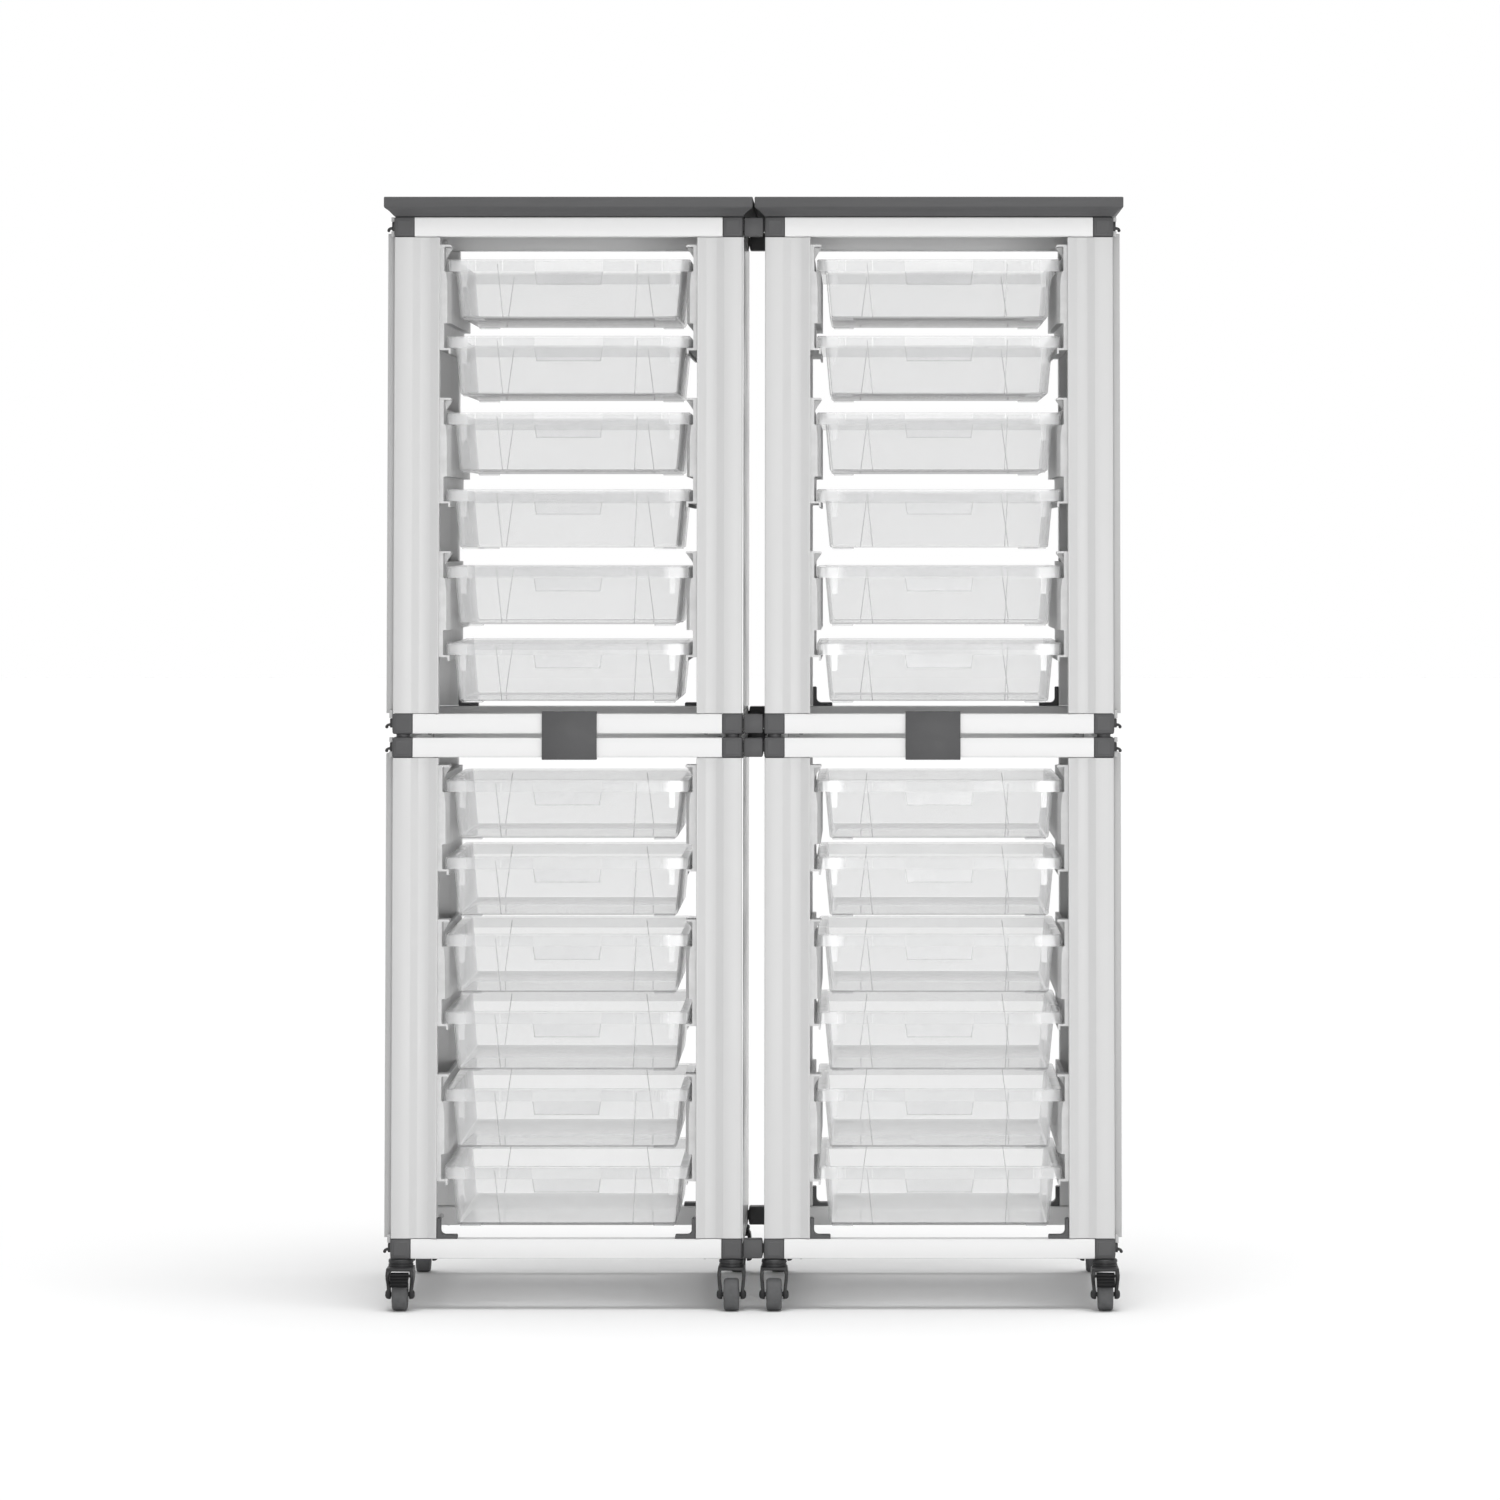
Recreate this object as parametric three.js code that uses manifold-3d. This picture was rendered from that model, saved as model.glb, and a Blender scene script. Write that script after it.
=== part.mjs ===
// Classroom tray storage unit: four square-tube modules, two wide and two high, with six clear trays each.
// Millimetres, +Z up, +X to the right, the front faces -Y. The origin is on the floor under the centre.
import * as THREE from "three";
import { mergeVertices } from "three/addons/utils/BufferGeometryUtils.js";
import Module from "manifold-3d";

const wasm = await Module();
wasm.setup();

// Clearances
const SEAT_GAP = 0.3; // between fixed pieces that rest on each other
const RUNNING_GAP = 0.3; // around a pin, and under a sliding rim
const FUSE = 0.5; // how far a piece runs into the one that it is moulded or screwed to

// Modules
const FRAME_WIDTH = 446;
const FRAME_DEPTH = 446;
const FRAME_HEIGHT = 660;
const COLUMN_GAP = 28; // between the two columns
const STACK_GAP = 4.2; // between a lower and an upper module
const CASTER_HEIGHT = 64; // from the floor to the lower modules

// Corner blocks and tubes
const BLOCK_SIDE = 26;
const TUBE_SIDE = 25;
const TUBE_SOCKET = 2; // how far a rail runs into its corner block
const SPACER_DIAMETER = 18;

// Uprights: a tube and a web beside it, with a shallow groove down the outer face
const UPRIGHT_WIDTH = 58.4;
const GROOVE_START = 24;
const GROOVE_SLOPE = 9.5;
const GROOVE_DEPTH = 4;
const GROOVE_LIP = 1.4; // what is left of the face at the upright's inner edge

// Tray runners
const TRAYS_PER_MODULE = 6;
const TRAYS_PER_RUNNER = 2;
const TOP_LEDGE_DROP = 70; // from the top of the module to the highest ledge
const LOW_LEDGE_RISE = 100; // from the foot of the module to the lowest ledge
const SLOT_HEIGHT = 32;
const RUNNER_WALL = 5; // behind a slot
const RUNNER_SKIN = 2.5; // ledges and plates
const LEDGE_REACH = 8.5; // from the slot's back wall
const LIP_REACH = 9.3;
const LIP_LENGTH = 40; // the lip over the upper slot is only at the front
const RUNNER_FOOT = 7; // below a runner's lower ledge
const LEAD_WIDTH = 4.3; // the plate's front end falls back by this much
const LEAD_LENGTH = 20;
const RUNNER_SETBACK = 8; // from the front and back of the module

// Trays
const TRAY_HEIGHT = 74.5;
const TRAY_SIDE_PLAY = 3.6; // rim to the slot's back wall
const TRAY_END_PLAY = 9.5; // rim to the front and back of the module
const TRAY_LEDGE_CLEARANCE = 4.6; // body to the ledge's edge
const TRAY_TAPER = 6.8; // each wall leans in by this much
const TRAY_WALL = 2.2;
const RIM_THICKNESS = 2.5;
const SKIRT_DEPTH = 15.5;
const SKIRT_THICKNESS = 2.4;
const RIM_RADIUS = 9;
const BODY_RADIUS = 6;
const BOTTOM_CHAMFER = 2;
const FLAP_TOP_WIDTH = 88; // grip flap at the front
const FLAP_BOTTOM_WIDTH = 83;
const FLAP_DEPTH = 31; // below the rim's top

// Top boards
const BOARD_THICKNESS = 24.7;
const BOARD_EDGE = 13.5; // height of the upright edge, above the bevel
const BOARD_OVERHANG = 12.8;
const BOARD_COVE = 1.1; // the bevel is hollowed by this much

// End panels: boards with eased edges, on battens that bear on the uprights
const PANEL_DEPTH = 9;
const PANEL_EASE = 1.2;
const PANEL_BATTEN = 12;
const PANEL_SETBACK = 20; // from the front and back of the module
const PANEL_RISE = 5; // above the lower face of the top ring

// Fittings
const HOOK_FLANGE = 3.6;
const HOOK_FLANGE_RISE = 6.6; // above the middle of the block
const HOOK_FLANGE_DROP = 5; // and below it
const HOOK_THICKNESS = 8;
const HOOK_REACH = 8; // from the block to the middle of the ball
const HOOK_BALL_RADIUS = 2.1;
const HOOK_CLEARANCE = 1.7; // over the end panel
const COUPLING_WIDTH = 24;
const COUPLING_HEIGHT = 24;
const COUPLING_STUB = 12;
const GUSSET_LEG = 26;
const GUSSET_THICKNESS = 5;
const GUSSET_WEB = 5; // slanted inner corner
const GUSSET_DEPTH = 20;
const CLIP_WIDTH = 70;
const CLIP_SHEET = 3;
const CLIP_SHIFT = { left: 2.5, right: -8 }; // each clip was slid along its rails

// Casters
const WHEEL_RADIUS = 20.5;
const WHEEL_WIDTH = 20.5;
const WHEEL_SHOULDER = 2.5;
const WHEEL_CONE = 0.8; // the sides fall back by this much towards the tread
const WHEEL_SIDES = 16;
const AXLE_RADIUS = 3;
const AXLE_CAP_RADIUS = 4.5;
const AXLE_CAP_LENGTH = 2.5;
const CASTER_TRAIL = 16; // the axle lies this far from the kingpin
const KINGPIN_RADIUS = 5;
const CROWN_RADIUS = 15.5;
const CROWN_HEIGHT = 13;
const CROWN_CLEARANCE = 9; // over the wheel
const FORK_TOP_WIDTH = 35.5;
const FORK_LEG = 4;
const FORK_SIDE_PLAY = 1.2; // between a leg and the wheel at the axle
const FORK_FOOT_RADIUS = 6;

// Brake pedals
const PEDAL_WIDTH = 23;
const PEDAL_PIN_RADIUS = 2;
const PEDAL_EYE = 2; // wall round the pin
const PEDAL_REACH = 19; // from the pin to the tip
const PEDAL_THICKNESS = 3;
const PEDAL_RIBS = 4;
const PEDAL_RIB_HEIGHT = 1;
const PEDAL_DROP = THREE.MathUtils.degToRad(50); // below the horizontal
const PEDAL_PIN_ABOVE = 24; // the pin over the axle
const PEDAL_PIN_AHEAD = 10; // and in front of it

// Worked-out places
const HALF_WIDTH = FRAME_WIDTH / 2;
const HALF_DEPTH = FRAME_DEPTH / 2;
const COLUMN_X = (FRAME_WIDTH + COLUMN_GAP) / 2;
const LEVELS = {
  lower: CASTER_HEIGHT,
  upper: CASTER_HEIGHT + FRAME_HEIGHT + STACK_GAP,
};
const COLUMNS = { left: -1, right: 1 };
const BLOCK_X = HALF_WIDTH - BLOCK_SIDE / 2; // middles of the corner blocks
const BLOCK_Y = HALF_DEPTH - BLOCK_SIDE / 2;
const SLOT_X = HALF_WIDTH - UPRIGHT_WIDTH - RUNNER_WALL; // back walls of the runners' slots
const TRAY_PITCH = (FRAME_HEIGHT - TOP_LEDGE_DROP - LOW_LEDGE_RISE) / (TRAYS_PER_MODULE - 1);

// Finishes
const finish = (color, roughness, metalness = 0) =>
  new THREE.MeshStandardMaterial({ color, roughness, metalness });
const WHITE_STEEL = finish(0xeceded, 0.45);
const DARK_BOARD = finish(0x5f5f60, 0.6);
const CLEAR_PLASTIC = finish(0xe9eaea, 0.25);
CLEAR_PLASTIC.transparent = true;
CLEAR_PLASTIC.opacity = 0.4;
const CASTER_PLASTIC = finish(0x3d3d3e, 0.5);
const WHEEL_RUBBER = finish(0x58595a, 0.7);
const PEDAL_PLASTIC = finish(0x232324, 0.55);

// A closed geometry as a solid for joining and cutting
function solidOf(geometry) {
  const bare = geometry.clone();
  bare.deleteAttribute("normal");
  bare.deleteAttribute("uv");
  const merged = mergeVertices(bare, 1e-4);
  return new wasm.Manifold(
    new wasm.Mesh({
      numProp: 3,
      vertProperties: new Float32Array(merged.attributes.position.array),
      triVerts: new Uint32Array(merged.index.array),
    }),
  );
}

// A solid as a flat-shaded geometry
function geometryOf(solid) {
  const { vertProperties, triVerts } = solid.getMesh();
  const geometry = new THREE.BufferGeometry();
  geometry.setAttribute("position", new THREE.BufferAttribute(vertProperties, 3));
  geometry.setIndex(new THREE.BufferAttribute(triVerts, 1));
  const faceted = geometry.toNonIndexed();
  faceted.computeVertexNormals();
  return faceted;
}

const join = (...pieces) =>
  geometryOf(pieces.map(solidOf).reduce((sum, piece) => sum.add(piece)));
const cut = (body, tool) => geometryOf(solidOf(body).subtract(solidOf(tool)));
const common = (a, b) => geometryOf(solidOf(a).intersect(solidOf(b)));

// A box between two corners
function box([x0, y0, z0], [x1, y1, z1]) {
  const geometry = new THREE.BoxGeometry(x1 - x0, y1 - y0, z1 - z0);
  return geometry.translate((x0 + x1) / 2, (y0 + y1) / 2, (z0 + z1) / 2);
}

// A shape drawn in X and Z, as deep as y0 to y1
function prismAlongY(shape, y0, y1) {
  const geometry = new THREE.ExtrudeGeometry(shape, { depth: y1 - y0, bevelEnabled: false });
  geometry.applyMatrix4(
    new THREE.Matrix4().makeBasis(
      new THREE.Vector3(1, 0, 0),
      new THREE.Vector3(0, 0, 1),
      new THREE.Vector3(0, -1, 0),
    ),
  );
  return geometry.translate(0, y1, 0);
}

// A shape drawn in Y and Z, as wide as x0 to x1
function prismAlongX(shape, x0, x1) {
  const geometry = new THREE.ExtrudeGeometry(shape, {
    depth: x1 - x0,
    bevelEnabled: false,
    curveSegments: 3,
  });
  geometry.applyMatrix4(
    new THREE.Matrix4().makeBasis(
      new THREE.Vector3(0, 1, 0),
      new THREE.Vector3(0, 0, 1),
      new THREE.Vector3(1, 0, 0),
    ),
  );
  return geometry.translate(x0, 0, 0);
}

// A shape drawn in X and Y, as tall as z0 to z1
const prismAlongZ = (shape, z0, z1) =>
  new THREE.ExtrudeGeometry(shape, { depth: z1 - z0, bevelEnabled: false }).translate(0, 0, z0);

const outline = (points) => new THREE.Shape(points.map(([a, b]) => new THREE.Vector2(a, b)));

// An upright cylinder between two heights
function drum(radius, x, y, z0, z1, sides = 16) {
  const geometry = new THREE.CylinderGeometry(radius, radius, z1 - z0, sides);
  return geometry.rotateX(Math.PI / 2).translate(x, y, (z0 + z1) / 2);
}

// Radius of a many-sided hole that clears a turning pin all round
const clearing = (radius, sides) => (radius + RUNNING_GAP) / Math.cos(Math.PI / sides);

// A cylinder along X between two places
function rod(radius, x0, x1, y, z, sides = 12) {
  const geometry = new THREE.CylinderGeometry(radius, radius, x1 - x0, sides);
  return geometry.rotateZ(Math.PI / 2).translate((x0 + x1) / 2, y, z);
}

// A skin over loops of equally many points, closed by a flat cap at each end
function loft(loops) {
  const count = loops[0].length;
  const index = [];
  for (let ring = 0; ring + 1 < loops.length; ring++) {
    for (let i = 0; i < count; i++) {
      const a = ring * count + i;
      const b = ring * count + ((i + 1) % count);
      index.push(a, b, b + count, a, b + count, a + count);
    }
  }
  const last = (loops.length - 1) * count;
  for (let i = 1; i + 1 < count; i++) {
    index.push(0, i + 1, i, last, last + i, last + i + 1);
  }
  const geometry = new THREE.BufferGeometry();
  geometry.setAttribute("position", new THREE.Float32BufferAttribute(loops.flat(2), 3));
  geometry.setIndex(index);
  return geometry;
}

// A rounded rectangle as a loop of points at one height
function roundedLoop(halfX, halfY, radius, z, steps = 2) {
  const loop = [];
  const corners = [
    [1, 1],
    [-1, 1],
    [-1, -1],
    [1, -1],
  ];
  corners.forEach(([sx, sy], corner) => {
    for (let i = 0; i <= steps; i++) {
      const angle = (Math.PI / 2) * (corner + i / steps);
      const x = sx * (halfX - radius) + radius * Math.cos(angle);
      const y = sy * (halfY - radius) + radius * Math.sin(angle);
      loop.push([x, y, z]);
    }
  });
  return loop;
}

// Corner block with its base at z
function cornerBlock(sx, sy, z) {
  const block = new THREE.BoxGeometry(BLOCK_SIDE, BLOCK_SIDE, BLOCK_SIDE);
  return block.translate(sx * BLOCK_X, sy * BLOCK_Y, z + BLOCK_SIDE / 2);
}

// Four corner blocks and the four rails between them, the base at z
function ring(z) {
  const inset = (BLOCK_SIDE - TUBE_SIDE) / 2;
  const reachX = HALF_WIDTH - BLOCK_SIDE + TUBE_SOCKET;
  const reachY = HALF_DEPTH - BLOCK_SIDE + TUBE_SOCKET;
  const [low, high] = [z + inset, z + inset + TUBE_SIDE];
  const half = TUBE_SIDE / 2;
  const pieces = [];
  for (const side of [-1, 1]) {
    const y = side * BLOCK_Y;
    const x = side * BLOCK_X;
    pieces.push(cornerBlock(-1, side, z), cornerBlock(1, side, z));
    pieces.push(box([-reachX, y - half, low], [reachX, y + half, high]));
    pieces.push(box([x - half, -reachY, low], [x + half, reachY, high]));
  }
  return pieces;
}

// Hooks on the outer faces of the front and back blocks of one side
function hooks(side, z) {
  const height = z + BLOCK_SIDE / 2;
  const ball = HOOK_BALL_RADIUS;
  const tipZ = PANEL_RISE - BLOCK_SIDE / 2 + HOOK_CLEARANCE + ball;
  const arm = outline([
    [-FUSE, -HOOK_FLANGE_DROP],
    [HOOK_FLANGE, -HOOK_FLANGE_DROP],
    [HOOK_REACH - ball, tipZ - ball / 2],
    [HOOK_REACH, tipZ - ball],
    [HOOK_REACH + ball, tipZ],
    [HOOK_REACH, tipZ + ball],
    [HOOK_FLANGE, tipZ + 2 * ball],
    [HOOK_FLANGE, HOOK_FLANGE_RISE],
    [-FUSE, HOOK_FLANGE_RISE],
  ]);
  return [-1, 1].map((end) => {
    const hook = prismAlongY(arm, -HOOK_THICKNESS / 2, HOOK_THICKNESS / 2);
    if (side < 0) hook.rotateZ(Math.PI);
    return hook.translate(side * HALF_WIDTH, end * BLOCK_Y, height);
  });
}

// Blocks that tie the left column to the right one, on the left column's right face
function couplings(z) {
  const start = HALF_WIDTH + (COLUMN_GAP - COUPLING_WIDTH) / 2;
  const half = COUPLING_HEIGHT / 2;
  const stub = COUPLING_STUB / 2;
  const middle = z + BLOCK_SIDE / 2;
  return [-1, 1].flatMap((end) => {
    const y = end * BLOCK_Y;
    const right = HALF_WIDTH + COLUMN_GAP - SEAT_GAP;
    return [
      box([start, y - half, middle - half], [start + COUPLING_WIDTH, y + half, middle + half]),
      box([HALF_WIDTH - FUSE, y - stub, middle - stub], [right, y + stub, middle + stub]),
    ];
  });
}

// L-shaped gussets in the corners between a bottom rail and the uprights
function gussets(end, z) {
  const leg = GUSSET_LEG;
  const wall = GUSSET_THICKNESS;
  const shape = outline([
    [0, 0],
    [leg, 0],
    [leg, wall],
    [wall + GUSSET_WEB, wall],
    [wall, wall + GUSSET_WEB],
    [wall, leg],
    [0, leg],
  ]);
  const base = z + (BLOCK_SIDE + TUBE_SIDE) / 2 - FUSE;
  const inner = HALF_WIDTH - UPRIGHT_WIDTH - SEAT_GAP;
  return [-1, 1].map((side) => {
    const gusset = prismAlongY(shape, -GUSSET_DEPTH / 2, GUSSET_DEPTH / 2);
    if (side > 0) gusset.rotateZ(Math.PI);
    return gusset.translate(side * inner, end * BLOCK_Y, base);
  });
}

// C-shaped clip round the front rail of a lower module's top ring and the rail above it
function stackingClip(shift, z) {
  const inset = (BLOCK_SIDE - TUBE_SIDE) / 2;
  const front = -HALF_DEPTH + inset;
  const low = z + inset;
  const high = z + BLOCK_SIDE + STACK_GAP + BLOCK_SIDE - inset;
  const face = front - SEAT_GAP;
  const back = front + TUBE_SIDE / 2;
  const section = outline([
    [face - CLIP_SHEET, low - CLIP_SHEET],
    [back, low - CLIP_SHEET],
    [back, low + FUSE],
    [face, low + FUSE],
    [face, high + SEAT_GAP],
    [back, high + SEAT_GAP],
    [back, high + SEAT_GAP + CLIP_SHEET],
    [face - CLIP_SHEET, high + SEAT_GAP + CLIP_SHEET],
  ]);
  return prismAlongX(section, shift - CLIP_WIDTH / 2, shift + CLIP_WIDTH / 2);
}

// Necks on which the upper module stands
function spacers(z) {
  const top = z + BLOCK_SIDE + STACK_GAP - SEAT_GAP;
  return corners().map(([sx, sy]) =>
    drum(SPACER_DIAMETER / 2, sx * BLOCK_X, sy * BLOCK_Y, z + BLOCK_SIDE - FUSE, top, 8),
  );
}

// Kingpins on which the casters swivel
function kingpins(z) {
  const foot = z - CROWN_HEIGHT - SEAT_GAP + RUNNER_SKIN;
  return corners().map(([sx, sy]) =>
    drum(KINGPIN_RADIUS, sx * BLOCK_X, sy * BLOCK_Y, foot, z + FUSE, 8),
  );
}

const corners = () => [-1, 1].flatMap((sx) => [-1, 1].map((sy) => [sx, sy]));

// Section of an upright on the left, from its outer face inwards; the groove lies on the face at y = 0
function uprightSection() {
  const inset = (BLOCK_SIDE - TUBE_SIDE) / 2;
  const floorEnd = UPRIGHT_WIDTH - GROOVE_LIP - GROOVE_SLOPE;
  return outline([
    [inset, 0],
    [GROOVE_START, 0],
    [GROOVE_START + GROOVE_SLOPE, GROOVE_DEPTH],
    [floorEnd, GROOVE_DEPTH],
    [UPRIGHT_WIDTH - GROOVE_LIP, 0],
    [UPRIGHT_WIDTH, 0],
    [UPRIGHT_WIDTH, TUBE_SIDE],
    [inset, TUBE_SIDE],
  ]);
}

// Section of a double runner on the left, seen from the front, with the lowest ledge at height 0
function runnerSection() {
  const skin = RUNNER_SKIN;
  const plate = RUNNER_WALL + LEDGE_REACH;
  const lip = RUNNER_WALL + LIP_REACH;
  const points = [
    [-FUSE, -skin],
    [plate - skin, -skin],
    [plate - skin, -RUNNER_FOOT],
    [plate, -RUNNER_FOOT],
  ];
  for (let tier = 0; tier < TRAYS_PER_RUNNER; tier++) {
    const ledge = tier * TRAY_PITCH;
    const roof = ledge + SLOT_HEIGHT;
    const reach = tier + 1 < TRAYS_PER_RUNNER ? plate : lip;
    points.push([plate, ledge], [RUNNER_WALL, ledge], [RUNNER_WALL, roof], [reach, roof]);
  }
  const top = (TRAYS_PER_RUNNER - 1) * TRAY_PITCH + SLOT_HEIGHT + skin;
  points.push([lip, top], [-FUSE, top]);
  return outline(points);
}

// A double runner on the left; the front ends of its plates fall back, so that a tray finds its slot.
// Behind the lip at its front the upper slot is open at the top.
function doubleRunner() {
  const reach = HALF_DEPTH - RUNNER_SETBACK;
  const plate = RUNNER_WALL + LEDGE_REACH;
  const wedge = outline([
    [plate - LEAD_WIDTH, -reach],
    [plate, -reach + LEAD_LENGTH],
    [plate + FUSE, -reach + LEAD_LENGTH],
    [plate + FUSE, -reach - FUSE],
    [plate - LEAD_WIDTH, -reach - FUSE],
  ]);
  let runner = prismAlongY(runnerSection(), -reach, reach);
  for (let tier = 1; tier < TRAYS_PER_RUNNER; tier++) {
    const ledge = tier * TRAY_PITCH;
    const roof = ledge - TRAY_PITCH + SLOT_HEIGHT;
    runner = cut(runner, prismAlongZ(wedge, roof - FUSE, ledge + FUSE));
  }
  const roof = (TRAYS_PER_RUNNER - 1) * TRAY_PITCH + SLOT_HEIGHT;
  const open = [RUNNER_WALL + LIP_REACH + FUSE, reach + FUSE, roof + RUNNER_SKIN + FUSE];
  return cut(runner, box([RUNNER_WALL, -reach + LIP_LENGTH, roof - FUSE], open));
}

// Two uprights and their runners, on the left of a module, and the end panel on an outer side
function sideWall(outer) {
  const [foot, head] = [BLOCK_SIDE + SEAT_GAP, FRAME_HEIGHT - BLOCK_SIDE - SEAT_GAP];
  const inset = (BLOCK_SIDE - TUBE_SIDE) / 2;
  const front = prismAlongZ(uprightSection(), foot, head).translate(-HALF_WIDTH, -HALF_DEPTH + inset, 0);
  const back = front.clone().scale(1, -1, 1);
  back.setIndex([...Array(back.attributes.position.count).keys()].reverse());
  const pieces = [front, back];
  const runner = doubleRunner();
  const x = -HALF_WIDTH + UPRIGHT_WIDTH;
  for (let tray = TRAYS_PER_RUNNER - 1; tray < TRAYS_PER_MODULE; tray += TRAYS_PER_RUNNER) {
    const ledge = FRAME_HEIGHT - TOP_LEDGE_DROP - tray * TRAY_PITCH;
    pieces.push(runner.clone().translate(x, 0, ledge));
  }
  if (outer) pieces.push(endPanel());
  return join(...pieces);
}

// Board outside the left uprights, with its outer edges eased; its battens bear on the uprights
function endPanel() {
  const reach = HALF_DEPTH - PANEL_SETBACK;
  const face = -HALF_WIDTH - PANEL_DEPTH;
  const back = -HALF_WIDTH - SEAT_GAP;
  const seat = -HALF_WIDTH + (BLOCK_SIDE - TUBE_SIDE) / 2 + FUSE;
  const [low, high] = [BLOCK_SIDE, FRAME_HEIGHT - BLOCK_SIDE + PANEL_RISE];
  const section = outline([
    [back, -reach],
    [back, reach],
    [face + PANEL_EASE, reach],
    [face, reach - PANEL_EASE],
    [face, -reach + PANEL_EASE],
    [face + PANEL_EASE, -reach],
  ]);
  const battens = [-1, 1].map((end) => {
    const edges = [end * reach, end * (reach - PANEL_BATTEN)].sort((a, b) => a - b);
    const [foot, head] = [low + 2 * PANEL_RISE, high - 3 * PANEL_RISE];
    return box([back - FUSE, edges[0], foot], [seat, edges[1], head]);
  });
  return join(prismAlongZ(section, low, high), ...battens);
}

// Clear tray with its rim's skirt at height 0, so that it stands on a ledge
function tray() {
  const rimX = SLOT_X - TRAY_SIDE_PLAY;
  const rimY = HALF_DEPTH - TRAY_END_PLAY;
  const shoulder = LEDGE_REACH - TRAY_SIDE_PLAY + TRAY_LEDGE_CLEARANCE;
  const [bodyX, bodyY] = [rimX - shoulder, rimY - shoulder];
  const [footX, footY] = [bodyX - TRAY_TAPER, bodyY - TRAY_TAPER];
  const top = SKIRT_DEPTH;
  const under = top - RIM_THICKNESS;
  const base = top - TRAY_HEIGHT;
  const wall = TRAY_WALL;
  const skirt = SKIRT_THICKNESS;
  const edge = BOTTOM_CHAMFER;
  const shell = loft([
    roundedLoop(footX - edge, footY - edge, BODY_RADIUS - edge, base),
    roundedLoop(footX, footY, BODY_RADIUS, base + edge),
    roundedLoop(bodyX, bodyY, BODY_RADIUS, under),
    roundedLoop(rimX - skirt, rimY - skirt, RIM_RADIUS - skirt, under),
    roundedLoop(rimX - skirt, rimY - skirt, RIM_RADIUS - skirt, 0),
    roundedLoop(rimX, rimY, RIM_RADIUS, 0),
    roundedLoop(rimX, rimY, RIM_RADIUS, top),
    roundedLoop(bodyX - wall, bodyY - wall, BODY_RADIUS - wall, top),
    roundedLoop(footX - wall, footY - wall, BODY_RADIUS - wall, base + wall),
  ]);
  const flapShape = outline([
    [-FLAP_BOTTOM_WIDTH / 2, top - FLAP_DEPTH],
    [FLAP_BOTTOM_WIDTH / 2, top - FLAP_DEPTH],
    [FLAP_TOP_WIDTH / 2, FUSE],
    [-FLAP_TOP_WIDTH / 2, FUSE],
  ]);
  return join(shell, prismAlongY(flapShape, -rimY, -rimY + skirt));
}

// Board with a hollowed bevel under its edge, its lower face at height 0
function topBoard() {
  const bevel = BOARD_THICKNESS - BOARD_EDGE;
  const [x, y] = [HALF_WIDTH + BOARD_OVERHANG, HALF_DEPTH + BOARD_OVERHANG];
  const corner = BOARD_OVERHANG / 4;
  return loft([
    roundedLoop(HALF_WIDTH, HALF_DEPTH, corner, 0),
    roundedLoop((HALF_WIDTH + x) / 2, (HALF_DEPTH + y) / 2, corner, bevel / 2 + BOARD_COVE),
    roundedLoop(x, y, corner, bevel),
    roundedLoop(x, y, corner, BOARD_THICKNESS),
  ]);
}

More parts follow.
